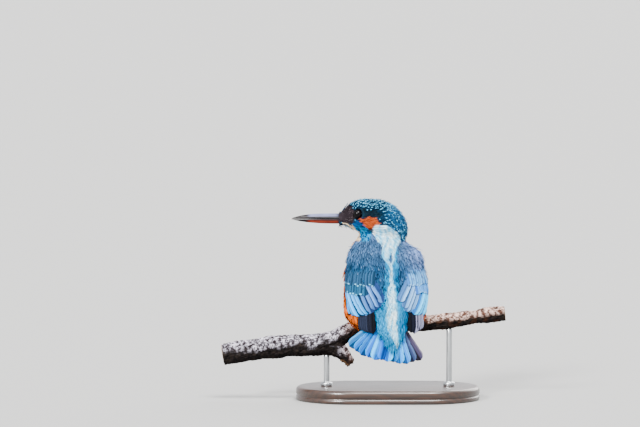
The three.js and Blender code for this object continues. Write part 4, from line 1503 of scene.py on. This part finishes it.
def straight_path(root, tip, facing, sag=0.0):
    """A quill from root to tip whose face looks along facing, its middle pushed out by sag."""
    shares = np.linspace(0, 1, QUILL_STEPS)[:, None]
    heading = unit(tip - root)
    out = tangent(facing, heading)
    middles = root + (tip - root) * shares + out * sag * np.sin(shares * math.pi)
    shape = np.ones((QUILL_STEPS, 1))
    return middles, np.cross(heading, out) * shape, out * shape


primary_run = np.subtract(*PRIMARY_OUTER)
print("the tips show for", round(float(np.linalg.norm(primary_run)), 1), "mm")

# %% Blocks of tips
PRIMARY_WIDTH, PRIMARY_LEAN, PRIMARY_SAG = 5.2, 7, 0.3 * MM
TIP_LOOKS = {
    # outer half, inner half, rim, no spot
    "left": ("141826", "080a10", "262e40", None),
    # the right tips' grey-lilac is a painted sheen
    "right": ("64667e", "1c1e28", "8284a0", None),
}
# painted shadow for the two inner tips of each block
SHADOWED_TIPS = ("0c0e18", "05060c", "181c2a", None)
for side, sign in (("left", 1), ("right", -1)):
    mirror = np.array([-sign, 1, 1])
    ends = [np.array([PRIMARY_OUTER[k], PRIMARY_INNER[k]]) * mirror for k in (0, 1)]
    ends[0][:, 1] -= LEFT_LIFT * (side == "left")
    draw = np.random.default_rng(70 + sign)
    paths = []
    for i in range(PRIMARIES_SHOWN):
        share = i / (PRIMARIES_SHOWN - 1)
        root, tip = (end[0] + (end[1] - end[0]) * share for end in ends)
        tip = tip + [0, 0, draw.normal(0, 0.7)]
        facing = PRIMARY_FACING * mirror @ body_axes
        raised = facing * (0.2 + 0.5 * share) * MM
        ends_there = (from_body(*root) + raised, from_body(*tip) + raised)
        path = straight_path(*ends_there, facing, PRIMARY_SAG)
        paths.append(tilted(path, sign * PRIMARY_LEAN))
    tip_colours = quill_colours(TIP_LOOKS[side], PRIMARIES_SHOWN, sign, 31 + sign)
    # the two inner tips get painted shadow
    tip_colours[-2:] = quill_colours(SHADOWED_TIPS, 2, sign, 35)
    block = Coat()
    widths = PRIMARY_WIDTH * draw.uniform(0.92, 1.05, PRIMARIES_SHOWN)
    lay_quills(block, paths, widths, tip_colours, 0.7, seed=5)
    block.build(f"wing_{side}_tips", quill_finish, "primary_feathers", f"wing_{side}_primaries")

# %% [markdown]
# ## Tail
# Twelve stiff feathers fan out from one root under the rump. The fan leans back and is swung a little
# to the bird's left. The middle pair lies on top and each outer one below its neighbour. One carved
# fan would be quicker, but its edge wouldn't show the single round tips. The left half is a strong
# blue with pale streaks, the right one fades to grey and lilac.

# %% Tail fan
TAIL_ROOT = (0.5, -23.6, 65)
TAIL_LEAN, TAIL_SWING, TAIL_SPREAD = math.radians(17), math.radians(-11.5), math.radians(43.5)
TAIL_LENGTH, TAIL_RIM = 34.4, 5.2
TAIL_WIDTHS, TAIL_THICKNESS, TAIL_SAG, TAIL_TILT = (9.4, 8.6), 0.2 * MM, 0.3 * MM, 3
# How much longer each feather is than its place in the fan asks
TAIL_UNEVEN = (0, -0.4, 0.3, -0.2, 0.5, 0, 0.4, -0.5, 0.1, 0.4, -0.3, 0.2)
TAIL_TONES = [
    # face, inner half, rim of each feather from the left
    ("0c5890", "043058", "5ca8dc"), ("0058a4", "002e64", "2890d4"), ("004c94", "002854", "1884cc"),
    ("0052a8", "002a6c", "1484d4"), ("0090e0", "004ca0", "58d4ff"), ("0058b4", "002c6c", "1484e0"),
    ("0094e4", "004898", "54d0ff"), ("00589c", "00284c", "2c98d4"), ("0078c8", "003c74", "40ace8"),
    ("1c6cbc", "0c3464", "58a8e0"), ("243050", "0e1224", "4c6084"), ("2c283c", "121018", "5c5668"),
]  # fmt: skip
tail_up = np.array([0, math.sin(TAIL_LEAN), math.cos(TAIL_LEAN)]) @ body_axes
tail_out = np.array([0, -math.cos(TAIL_LEAN), math.sin(TAIL_LEAN)]) @ body_axes
tail_root = from_body(*TAIL_ROOT)
paths, colours = [], []
for i, tone in enumerate(TAIL_TONES):
    place = 2 * i / (len(TAIL_TONES) - 1) - 1
    rim = abs(place)
    turn = TAIL_SWING + place * TAIL_SPREAD
    way = body_right * math.sin(turn) - tail_up * math.cos(turn)
    sunk = (2.3 * rim - 0.4 + (0.2 if place > 0 else 0)) * MM
    begin = tail_root + way * 4 * MM - tail_out * sunk
    end = tail_root + way * (TAIL_LENGTH + TAIL_RIM * rim + TAIL_UNEVEN[i]) * MM - tail_out * sunk
    sign = 1 if place < 0 else -1
    paths.append(tilted(straight_path(begin, end, tail_out, TAIL_SAG), sign * TAIL_TILT))
    colours.append(quill_colours((*tone, None), 1, sign, 90 + i)[0])
tail = Coat()
widths = np.linspace(*TAIL_WIDTHS, len(paths))
lay_quills(tail, paths, widths, np.array(colours), 0.84, thickness=TAIL_THICKNESS, seed=9)
tail_finish = feather_finish("tail_vanes", 60, 0.14, 0.5, streaks=7, contrast=0.42)
tail.build("tail_fan", tail_finish, "tail_feathers", "tail")

# %% [markdown]
# ## Bill
# A kingfisher's bill is a long dagger of horn in two halves. Each half is lofted from its root, hidden
# in the feathers, to the tip: a half section whose width and depth taper at their own pace. The upper
# half has a ridge along its top and a slit of a nostril near the root. A stretched cone would do from
# afar, but ridge and slit need a section at each step. The upper half is black, with a painted grey
# sheen along its top and a painted highlight at its tip; the lower one is orange-red with a dark root
# and tip, and painted shade along its edge by the slit.

# %% Sizes of the bill
BILL_ROOT, BILL_LENGTH, BILL_WIDTH = 19.0, 44.0, 7.6
BILL_LEVEL, BILL_DROOP = -2.1, 0.5  # height of the slit at the root, and its fall to the tip
UPPER_DEPTH, LOWER_DEPTH = 3.9, 3.4
UPPER_TAPER, LOWER_TAPER = 4.6, 3.4  # the higher, the later the depth falls off
SHORTER_BELOW = 1.2
SLIT = 0.3  # the gap between the halves
BILL_STEPS, BILL_SIDES = 110, 33
NOSTRIL_AT, NOSTRIL_LENGTH = 0.24, 0.07  # shares of the bill's length
NOSTRIL_ROUND, NOSTRIL_WIDTH = 0.72, 0.13  # angles from the ridge, in radians
print("the bill is", round(UPPER_DEPTH + SLIT + LOWER_DEPTH, 1), "mm deep at its root")


# %% Lofting rings
def mesh_from_rings(name, rings):
    """A closed mesh from rings of equal length, as an array of (ring, point, 3)."""
    count, sides = rings.shape[:2]
    faces = []
    for start in range(0, (count - 1) * sides, sides):
        for k in range(sides):
            following = (k + 1) % sides
            above = start + sides
            faces.append((start + k, start + following, above + following, above + k))
    last = (count - 1) * sides
    faces += [tuple(range(sides))[::-1], tuple(last + k for k in range(sides))]
    mesh = bpy.data.meshes.new(name)
    mesh.from_pydata(rings.reshape(-1, 3).tolist(), [], faces)
    mesh.shade_smooth()
    fixed = bmesh.new()
    fixed.from_mesh(mesh)
    bmesh.ops.recalc_face_normals(fixed, faces=fixed.faces)
    fixed.to_mesh(mesh)
    fixed.free()
    return link(bpy.data.objects.new(name, mesh))


def mandible(up):
    """Half of the bill, the upper one where up is 1, with each point's share of the length and height."""
    t = np.sin(np.linspace(0, math.pi / 2, BILL_STEPS))[:, None]
    arc = np.linspace(0, math.pi, BILL_SIDES)[None, :]
    length = BILL_LENGTH - (0 if up > 0 else SHORTER_BELOW)
    width = BILL_WIDTH / 2 * np.maximum(1 - t**1.2, 0.09)
    taper = UPPER_TAPER if up > 0 else LOWER_TAPER
    depth = (UPPER_DEPTH if up > 0 else LOWER_DEPTH) * np.maximum(1 - t**taper, 0.05)
    off_ridge = np.abs(arc - math.pi / 2)
    rise = np.sin(arc) ** 0.9 * (1 + 0.05 * np.exp(-((off_ridge / 0.2) ** 2)) * (up > 0))
    near_nostril = np.exp(-(((t - NOSTRIL_AT) / NOSTRIL_LENGTH) ** 2))
    groove = 0.35 * near_nostril * np.exp(-(((off_ridge - NOSTRIL_ROUND) / NOSTRIL_WIDTH) ** 2))
    side = np.sign(np.cos(arc)) * np.abs(np.cos(arc)) ** 1.15
    across = up * width * side * (1 - groove * (up > 0) * 0.5)
    height = BILL_LEVEL - BILL_DROOP * t + up * (SLIT / 2 + depth * rise * (1 - groove * (up > 0)))
    forward = BILL_ROOT + t * length + 0 * arc
    rings = head_middle + np.stack([forward, across, height], axis=-1) * MM @ head_axes
    shares = np.broadcast_to(t, rings.shape[:2]).reshape(-1)
    high = np.broadcast_to(rise, rings.shape[:2]).reshape(-1)
    return mesh_from_rings("bill_" + ("upper" if up > 0 else "lower") + "_horn", rings), shares, high


halves = {up: mandible(up) for up in (1, -1)}
print("each half of the bill has", len(halves[1][0].data.polygons), "faces")


# %% Horn and its colours
def horn_finish(name, roughness):
    nodes = Nodes(name, roughness)
    grain = nodes.noise(0.5 * MM, 4, nodes.place((0.16, 1, 1)))
    streaks = nodes.range(grain, 0.3, 0.7, 0.6, 1.1)
    nodes.set("Base Color", nodes.blend("MULTIPLY", 0.5, nodes.attribute("coat"), streaks))
    nodes.set("Roughness", nodes.range(grain, 0.3, 0.7, roughness - 0.08, roughness + 0.12))
    nodes.bump(grain, 0.06 * MM)
    nodes.set("Specular IOR Level", 0.1)
    return nodes.material


for up, (horn, t, high) in halves.items():
    points = positions(horn.data)
    patchy = 0.5 + 0.5 * ripple(points, 4 * MM, 17)
    if up > 0:
        # painted sheen: the top of the upper half is painted grey-lilac for the light it reflects
        sheen = smooth(0.35, 0.7, high) * smooth(0.12, 0.24, t) * (0.75 + 0.25 * patchy)
        colours = mix(paint("0a080c"), paint("686c8a"), sheen)
        colours = mix(colours, paint("140f12"), smooth(0.62, 0.72, t))
        # painted highlight at the very tip
        colours = mix(colours, paint("c9b8ac"), smooth(0.955, 0.985, t) * 0.8)
        node = slot = "bill_upper"
    else:
        colours = mix(paint("54180e"), paint("802c18"), patchy)
        colours = mix(colours, paint("120e11"), np.maximum(smooth(0.2, 0.13, t), smooth(0.62, 0.76, t)))
        # painted shade along the edge by the slit, under the upper half
        colours = mix(colours, paint("120e11"), 0.9 * smooth(0.45, 0.2, high))
        node = slot = "bill_lower"
    write_colours(horn.data, "coat", colours)
    horn.data.materials.append(horn_finish(node + "_horn", 0.34))
    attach(horn, "root")
    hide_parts(node)
    print(node, "is", round(float(np.ptp(points @ head_forward)) / MM, 1), "mm long")

# %% [markdown]
# ## Eyes
# The eye is a dark ball with a deep brown iris round a black pupil, under a wet clear surface. A ring of
# bare dark lid, thin and a little wrinkled, closes it against the feathers. The ring sits where the
# skin cuts the ball, and faces the way the skin faces there. A ball with a drawn iris would shine the
# same all over, so the front of this one bulges like a real cornea and catches a small light.

# %% Eye and lid finish
EYE_RADIUS = 3.4 * MM
LID_RADIUS = 2.75 * MM
LID_THICKNESS = 0.42 * MM
LID_OVAL = 0.92  # height of the lid's ring over its width
IRIS = (25, 29, 44, 52)  # degrees from the pupil's middle between which the brown comes and goes
BALL_RINGS, BALL_SIDES, LID_STEPS, LID_SIDES = 40, 56, 72, 12


def eye_finish():
    nodes = Nodes("eye_wet", 0.08)
    flecks = nodes.noise(0.25 * MM, 4)
    shade = nodes.range(flecks, 0.3, 0.7, 0.5, 1.2)
    nodes.set("Base Color", nodes.blend("MULTIPLY", 0.6, nodes.attribute("coat"), shade))
    nodes.set("Specular IOR Level", 0.06)
    nodes.set("Coat Weight", 0.1)
    nodes.set("Coat Roughness", 0.02)
    return nodes.material


def lid_finish():
    nodes = Nodes("lid_skin", 0.5)
    folds = nodes.noise(0.2 * MM, 4)
    tone = nodes.blend("MIX", nodes.range(folds, 0.35, 0.65), paint("0a0709"), paint("1e181b"))
    nodes.set("Base Color", tone)
    nodes.bump(folds, 0.06 * MM)
    nodes.set("Specular IOR Level", 0.1)
    return nodes.material


wet, lid_skin = eye_finish(), lid_finish()
print("made", wet.name, "and", lid_skin.name)

# %% Eyeballs and lids
for side, sign in (("left", 1), ("right", -1)):
    centre = eyes[side]
    _, facing, _ = hide.nearest((centre + head_left * sign * 5 * MM)[None])
    facing = unit(facing[0] + head_left * sign * 0.8)
    level = unit(np.cross(UP, facing))
    steep = np.cross(facing, level)
    polar = np.linspace(0.02, math.pi - 0.02, BALL_RINGS)[:, None]
    turn = np.linspace(0, 2 * math.pi, BALL_SIDES, endpoint=False)[None, :]
    out = np.sin(polar)
    local = np.stack([np.cos(polar) + 0 * turn, out * np.cos(turn), out * np.sin(turn)], axis=-1)
    bulge = 1 + 0.05 * smooth(0.75, 0.25, polar)  # the cornea stands a little proud
    eye_axes = np.stack([facing, level, steep])
    rings = centre + (local * bulge[..., None] * EYE_RADIUS) @ eye_axes
    ball = mesh_from_rings(f"eye_{side}_ball", rings)
    away = np.degrees(np.broadcast_to(polar, rings.shape[:2]).reshape(-1))
    iris = smooth(IRIS[0], IRIS[1], away) * smooth(IRIS[3], IRIS[2], away)
    colours = mix(paint("030203"), paint("1e0f08"), iris)
    write_colours(ball.data, "coat", colours)
    ball.data.materials.append(wet)
    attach(ball, "root")
    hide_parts("eye_" + side)
    round_eye = np.linspace(0, 2 * math.pi, LID_STEPS, endpoint=False)[:, None]
    tube = np.linspace(0, 2 * math.pi, LID_SIDES, endpoint=False)[None, :]
    far = LID_RADIUS + LID_THICKNESS * np.cos(tube) * (1 + 0.12 * np.sin(9 * round_eye))
    front = math.sqrt(EYE_RADIUS**2 - LID_RADIUS**2) + LID_THICKNESS * np.sin(tube) * 0.8 + 0 * round_eye
    rim = np.stack([front, far * np.cos(round_eye), far * np.sin(round_eye) * LID_OVAL], axis=-1)
    rings = centre + rim @ eye_axes
    rings = np.concatenate([rings, rings[:1]])
    lid = mesh_from_rings(f"eye_{side}_lid", rings)
    lid.data.materials.append(lid_skin)
    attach(lid, "root")
    print(f"{side} eye faces", np.round(facing, 2))

# %% [markdown]
# ## Legs and claws
# The legs are short, and the toes, partly grown together, wrap the branch. Their skin is orange-red and
# set with small scutes. The solid of each leg is melted into a finer mesh, and the finish raises the
# scutes, as so small a pattern needs no mesh of its own. The claws keep their own solids, rounded by
# subdivision, in dark horn.


# %% Leg and claw finish
def leg_finish():
    nodes = Nodes("leg_scutes", 0.45)
    cell = nodes.tree.nodes.new("ShaderNodeTexVoronoi")
    cell.feature = "DISTANCE_TO_EDGE"
    cell.inputs["Scale"].default_value = 1 / (0.9 * MM)
    nodes.tree.links.new(nodes.place((0.8, 1.2, 1.2)), cell.inputs["Vector"])
    scute = nodes.range(cell.outputs["Distance"], 0, 0.22)
    tone = nodes.blend("MIX", nodes.noise(2 * MM), paint("8c2a10"), paint("c04a24"))
    nodes.set("Base Color", nodes.blend("MIX", scute, paint("44140a"), tone))
    nodes.bump(scute, 0.12 * MM)
    return nodes.material


def claw_finish():
    nodes = Nodes("claw_horn", 0.3)
    grain = nodes.noise(0.3 * MM, 4)
    nodes.set("Base Color", nodes.blend("MIX", grain, paint("120c0c"), paint("4a3630")))
    nodes.bump(grain, 0.03 * MM)
    return nodes.material


leg_skin, claw_horn = leg_finish(), claw_finish()
print("made", leg_skin.name, "and", claw_horn.name)

# %% Feet
LEG_SWELL, LEG_GRAIN = 0.12 * MM, 0.25 * MM
TOES = (1, 2, 3, 4)
for side in ("left", "right"):
    leg = melted(f"leg_{side}_skin", swollen_copy([f"leg_{side}"], LEG_SWELL), LEG_GRAIN, 3)
    leg.data.shade_smooth()
    leg.data.materials.clear()
    leg.data.materials.append(leg_skin)
    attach(leg, "root")
    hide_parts(f"leg_{side}")
    for toe in TOES:
        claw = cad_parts[f"claw_{side}_{toe}"]
        claw.modifiers.new("rounded", "SUBSURF").levels = 2
        claw.data.materials.clear()
        claw.data.materials.append(claw_horn)
    print(f"{side} leg:", len(leg.data.polygons), "faces and", len(TOES), "claws")

# %% [markdown]
# ## Branch
# The perch is a length of weathered branch that forks: a thick arm from the left ends in a snapped side
# arm, and a thinner one carries the bird. The solid is melted into a fine mesh, and each of its points
# is moved in or out by what bark does: long cracks along the wood, low lumps round it, scales that lift,
# and rings of growth on the cut ends. A bump in the finish alone would leave the outline smooth. To
# know what lies along and what lies round, each point is measured against its arm's middle line.

# %% Middle lines of the wood
ARM = np.array([
    (-124, 1.5, 33.5), (-100, 0.5, 37.5), (-76, 0, 40.2), (-55, -0.5, 41), (-43, -0.4, 43),
    (-34, 0, 48.6), (-25, 0, 53.2), (-12, 0, 55.8), (8, 0, 56.6), (28, 0, 57.4), (52, 0.6, 59.9),
    (74, 0.8, 63.2), (88, 0.4, 64.8),
])  # fmt: skip
STUB = np.array([(-50, -0.5, 41), (-40, -1.5, 39.5), (-33, -2, 34), (-28, -2.2, 27.8)])
STUB_APART = 300  # keeps the snapped arm's cracks from going on in the other arm


def on_line(points, line):
    """Distance from a line of points, place along it and the nearest points of it, in millimetres."""
    best, along, spot = np.full(len(points), 1e9), np.zeros(len(points)), np.zeros(points.shape)
    walked = 0.0
    for a, b in zip(line[:-1], line[1:]):
        run = b - a
        length = np.linalg.norm(run)
        share = np.clip((points - a) @ run / length**2, 0, 1)
        near = a + share[:, None] * run
        far = np.linalg.norm(points - near, axis=1)
        nearer = far < best
        best[nearer] = far[nearer]
        along[nearer] = (walked + share * length)[nearer]
        spot[nearer] = near[nearer]
        walked += length
    return best, along, spot


def wood_frame(points):
    """Along and round the wood: a place in millimetres along it, and the direction out of its middle."""
    far_arm, along_arm, spot_arm = on_line(points, ARM)
    far_stub, along_stub, spot_stub = on_line(points, STUB)
    stub = (far_stub < far_arm) & (points[:, 2] < 41)
    spot = np.where(stub[:, None], spot_stub, spot_arm)
    return np.where(stub, along_stub + STUB_APART, along_arm), unit(points - spot), stub


print("the arm is", round(float(np.linalg.norm(np.diff(ARM, axis=0), axis=1).sum())), "mm long")

# %% Bark in relief
BARK_SWELL, BARK_GRAIN = 0.2 * MM, 0.5 * MM
YEAR_RINGS = 6.5  # radians of the rings' wave to a millimetre
TOES_AT, TOES_MIDDLE = 9.5, -1  # the feet grip so far on either side of this place along the branch
bark = melted("perch_bark", swollen_copy(["perch_branch"], BARK_SWELL), BARK_GRAIN, 4)
bark_points = positions(bark.data)
bark_normals = normals_of(bark.data)
millimetres = bark_points / MM
along, outward, on_stub = wood_frame(millimetres)
grain_space = np.column_stack([along / 7, outward[:, 1:] * 6.5])  # stretched seven times along the wood
cracks = np.abs(ripple(grain_space, 1.5, 41))
fine_cracks = np.abs(ripple(grain_space * [2.2, 1, 1], 0.65, 42))
lumps = ripple(millimetres, 7, 43)
scales = ripple(millimetres, 2.2, 44)
ends = np.abs(bark_normals[:, 0]) * (np.abs(millimetres[:, 0] + 18) > 104)
end_share = smooth(0.8, 0.95, ends)
snapped = smooth(31, 29.5, millimetres[:, 2]) * on_stub * smooth(-0.3, -0.7, bark_normals[:, 2])
end_heights = np.where(millimetres[:, 0] < 0, ARM[0, 2], ARM[-1, 2])
end_middles = np.column_stack([np.zeros(len(along)), end_heights])
radius_out = np.linalg.norm((millimetres - [0, 0.9, 0])[:, 1:] - end_middles, axis=1)
relief = -0.75 * smooth(0.22, 0.0, cracks) - 0.3 * smooth(0.2, 0.0, fine_cracks)
relief = relief + 0.4 * lumps + 0.28 * smooth(0.1, 0.5, scales)
growth = 0.09 * np.sin(radius_out * YEAR_RINGS + 0.8 * ripple(millimetres, 3, 45))
rings = growth - 0.35 * smooth(0.12, 0, np.abs(ripple(millimetres * [0, 1, 1], 2.4, 46)))
splinters = 1.3 * ripple(millimetres * [1, 1, 0.12], 0.9, 47)
relief = relief * (1 - end_share) * (1 - snapped) + rings * end_share + splinters * snapped
under_toes = smooth(5.6, 4.4, np.abs(np.abs(millimetres[:, 0] - TOES_MIDDLE) - TOES_AT))
pressed = relief * (1 - under_toes) + np.minimum(relief, -0.1) * under_toes
relief = np.where(under_toes > 0, pressed, relief)
bark_points += bark_normals * ((relief - 0.2) * MM)[:, None]
bark.data.vertices.foreach_set("co", bark_points.astype(np.float32).ravel())
bark.data.update()
bark.data.shade_smooth()
print("the bark's relief goes from", round(relief.min(), 2), "to", round(relief.max(), 2), "mm")

# %% [markdown]
# Lichen has bleached the top of the bark, greyer on the thick arm and browner on the thin one, and the
# top is also painted lighter as lit from above, while below the bark is painted nearly black as shade.
# The cracks are dark, and the cut ends show fresher wood.

# %% Bark colours
# painted light and shade: the wood is pale where it faces up and nearly black where it faces down
top = smooth(-0.15, 0.55, outward[:, 2] + 0.35 * lumps)
right_arm = smooth(-40, -20, millimetres[:, 0])
lichen = smooth(-0.5, 0.35, ripple(millimetres, 2.2, 48) + 0.8 * ripple(millimetres, 0.9, 49))
# the underside's near-black is painted shade
under = mix(paint("040303"), paint("1c1612"), smooth(-0.6, 0.9, ripple(millimetres, 1.8, 50)))
under = mix(under, paint("40220f"), right_arm * 0.5 * smooth(0, 0.6, ripple(millimetres, 4, 51)))
pale_left = mix(paint("2c282c"), paint("aca8b4"), lichen)
pale_right = mix(paint("4c3228"), paint("c4a69a"), lichen)
bark_colours = mix(under, mix(pale_left, pale_right, right_arm), top)
specks = smooth(0.15, 0.5, ripple(millimetres, 1.0, 52)) * (1 - 0.5 * right_arm)
bark_colours = mix(bark_colours, paint("171213"), 0.85 * specks)
all_cracks = np.maximum(smooth(0.2, 0.03, cracks), 0.6 * smooth(0.15, 0.02, fine_cracks))
bark_colours = mix(bark_colours, paint("14100f"), 0.8 * all_cracks)
wood = mix(paint("6a4c2f"), paint("a08360"), 0.5 + 0.5 * np.sin(radius_out * YEAR_RINGS))
bark_colours = mix(bark_colours, wood, end_share * 0.9)
bark_colours = mix(bark_colours, mix(paint("332214"), paint("6a4e34"), lichen), snapped * 0.85)
write_colours(bark.data, "coat", np.clip(bark_colours, 0, 1))
print("the bark's mean colour is", np.round(bark_colours.mean(0), 3))


# %% Bark finish
def bark_finish():
    nodes = Nodes("bark_weathered", 0.9)
    grit = nodes.noise(0.5 * MM, 5)
    fibre = nodes.noise(0.4 * MM, 4, nodes.place((0.15, 1, 1)))
    shade = nodes.range(nodes.math("MULTIPLY", grit, fibre), 0.12, 0.38, 0.55, 1.12)
    nodes.set("Base Color", nodes.blend("MULTIPLY", 1.0, nodes.attribute("coat"), shade))
    nodes.set("Roughness", nodes.range(grit, 0.3, 0.7, 0.75, 1))
    nodes.set("Specular IOR Level", 0.08)
    nodes.bump(nodes.math("ADD", grit, fibre), 0.25 * MM)
    return nodes.material


bark.data.materials.clear()
bark.data.materials.append(bark_finish())
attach(bark, "root")
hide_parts("perch_branch")
print("bark:", len(bark.data.polygons), "faces")

# %% [markdown]
# ## Stand
# A museum shows such a bird on a low plinth. It is turned from dark wood, with rounded ends, a rounded
# top edge and a shallow groove round its side. A bevel has one curve and a turned edge has several, so
# its profile is listed and carried round the outline. Two thin steel rods rise from collars on the
# plinth and hold the branch.

# %% Plinth
BASE_LENGTH, BASE_WIDTH = 138.0, 84.0
PROFILE = [
    # inset from the outline, height
    (3.0, 0.0), (1.2, 0.05), (0.3, 0.6), (0.0, 1.4), (0.0, 3.0), (0.35, 3.3), (0.6, 3.7),
    (0.6, 4.1), (0.35, 4.5), (0.0, 4.8), (0.0, 7.6), (0.2, 8.5), (0.8, 9.3), (1.7, 9.85),
    (2.8, 10.0),
]  # fmt: skip


def stadium(inset, count=160):
    """The plinth's outline, drawn in by inset: two half circles joined by straight sides."""
    half = (BASE_LENGTH - BASE_WIDTH) / 2
    turn = np.linspace(0, 2 * math.pi, count, endpoint=False)
    radius = BASE_WIDTH / 2 - inset
    side = np.sign(np.cos(turn)) * smooth(0, 0.12, np.abs(np.cos(turn)))
    return radius * np.cos(turn) + half * side, radius * np.sin(turn)


rings = []
for inset, height in PROFILE:
    x, y = stadium(inset)
    rings.append(np.column_stack([x, y, np.full_like(x, height)]))
plinth = mesh_from_rings("stand_plinth", np.array(rings) * MM)
print("plinth:", len(plinth.data.polygons), "faces")


# %% Plinth finish
GRAIN_LINES = 1500  # radians of the grain's wave to a metre


def plinth_finish():
    nodes = Nodes("plinth_wood", 0.35)
    warp = nodes.noise(30 * MM, 2)
    x, y, z = nodes.split(nodes.place((1, 1, 1)))
    across = nodes.math("MULTIPLY_ADD", nodes.math("SUBTRACT", warp, 0.5), 0.03, y)
    sloping = nodes.math("ADD", across, nodes.math("MULTIPLY", z, 0.7))
    rings = nodes.math("SINE", nodes.math("MULTIPLY", sloping, GRAIN_LINES))
    pores = nodes.noise(0.5 * MM, 4, nodes.place((0.05, 1, 1)))
    tone = nodes.math("MULTIPLY_ADD", rings, 0.18, nodes.range(pores, 0.3, 0.7, 0.15, 0.85))
    nodes.set("Base Color", nodes.blend("MIX", tone, paint("140c08"), paint("362014")))
    nodes.set("Roughness", nodes.range(pores, 0.3, 0.7, 0.42, 0.3))
    nodes.bump(pores, 0.05 * MM)
    nodes.set("Coat Weight", 0.3)
    nodes.set("Coat Roughness", 0.15)
    return nodes.material


plinth.data.materials.append(plinth_finish())
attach(plinth, "root")
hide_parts("stand_base")
print("made", plinth.data.materials[0].name)

# %% Rods
COLLAR = [
    # share of the rod's radius, height
    (1, 10), (1.9, 10.02), (2.0, 10.4), (2.0, 12.4), (1.85, 12.9), (1.05, 13.2), (1, 13.4),
]  # fmt: skip
ROD_SIDES = 48


def steel_finish():
    nodes = Nodes("rod_steel", 0.3)
    brushed = nodes.noise(0.25 * MM, 3, nodes.place((1, 1, 0.03)))
    nodes.set("Base Color", nodes.blend("MIX", brushed, paint("8e9194"), paint("c9cccd")))
    nodes.set("Metallic", 1.0)
    nodes.set("Roughness", nodes.range(brushed, 0.3, 0.7, 0.22, 0.42))
    nodes.bump(brushed, 0.02 * MM)
    return nodes.material


steel = steel_finish()
for side in ("left", "right"):
    low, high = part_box("stand_rod_" + side)
    middle = (low + high) / 2
    radius = (high.x - low.x) / 2
    profile = [(0.4, low.z), (1, low.z)] + [(share, height * MM) for share, height in COLLAR]
    profile += [(1, z) for z in np.linspace(14 * MM, high.z - 0.4 * MM, 12)]
    profile += [(0.85, high.z), (0.2, high.z)]
    turn = np.linspace(0, 2 * math.pi, ROD_SIDES, endpoint=False)
    circle = np.column_stack([np.cos(turn), np.sin(turn), 0 * turn])
    rings = [np.array([middle.x, middle.y, z]) + circle * share * radius for share, z in profile]
    rod = mesh_from_rings(f"stand_{side}_steel", np.array(rings))
    rod.data.materials.append(steel)
    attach(rod, "root")
    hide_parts("stand_rod_" + side)
    print(f"{side} rod:", round((high.z - low.z) / MM, 1), "mm long")
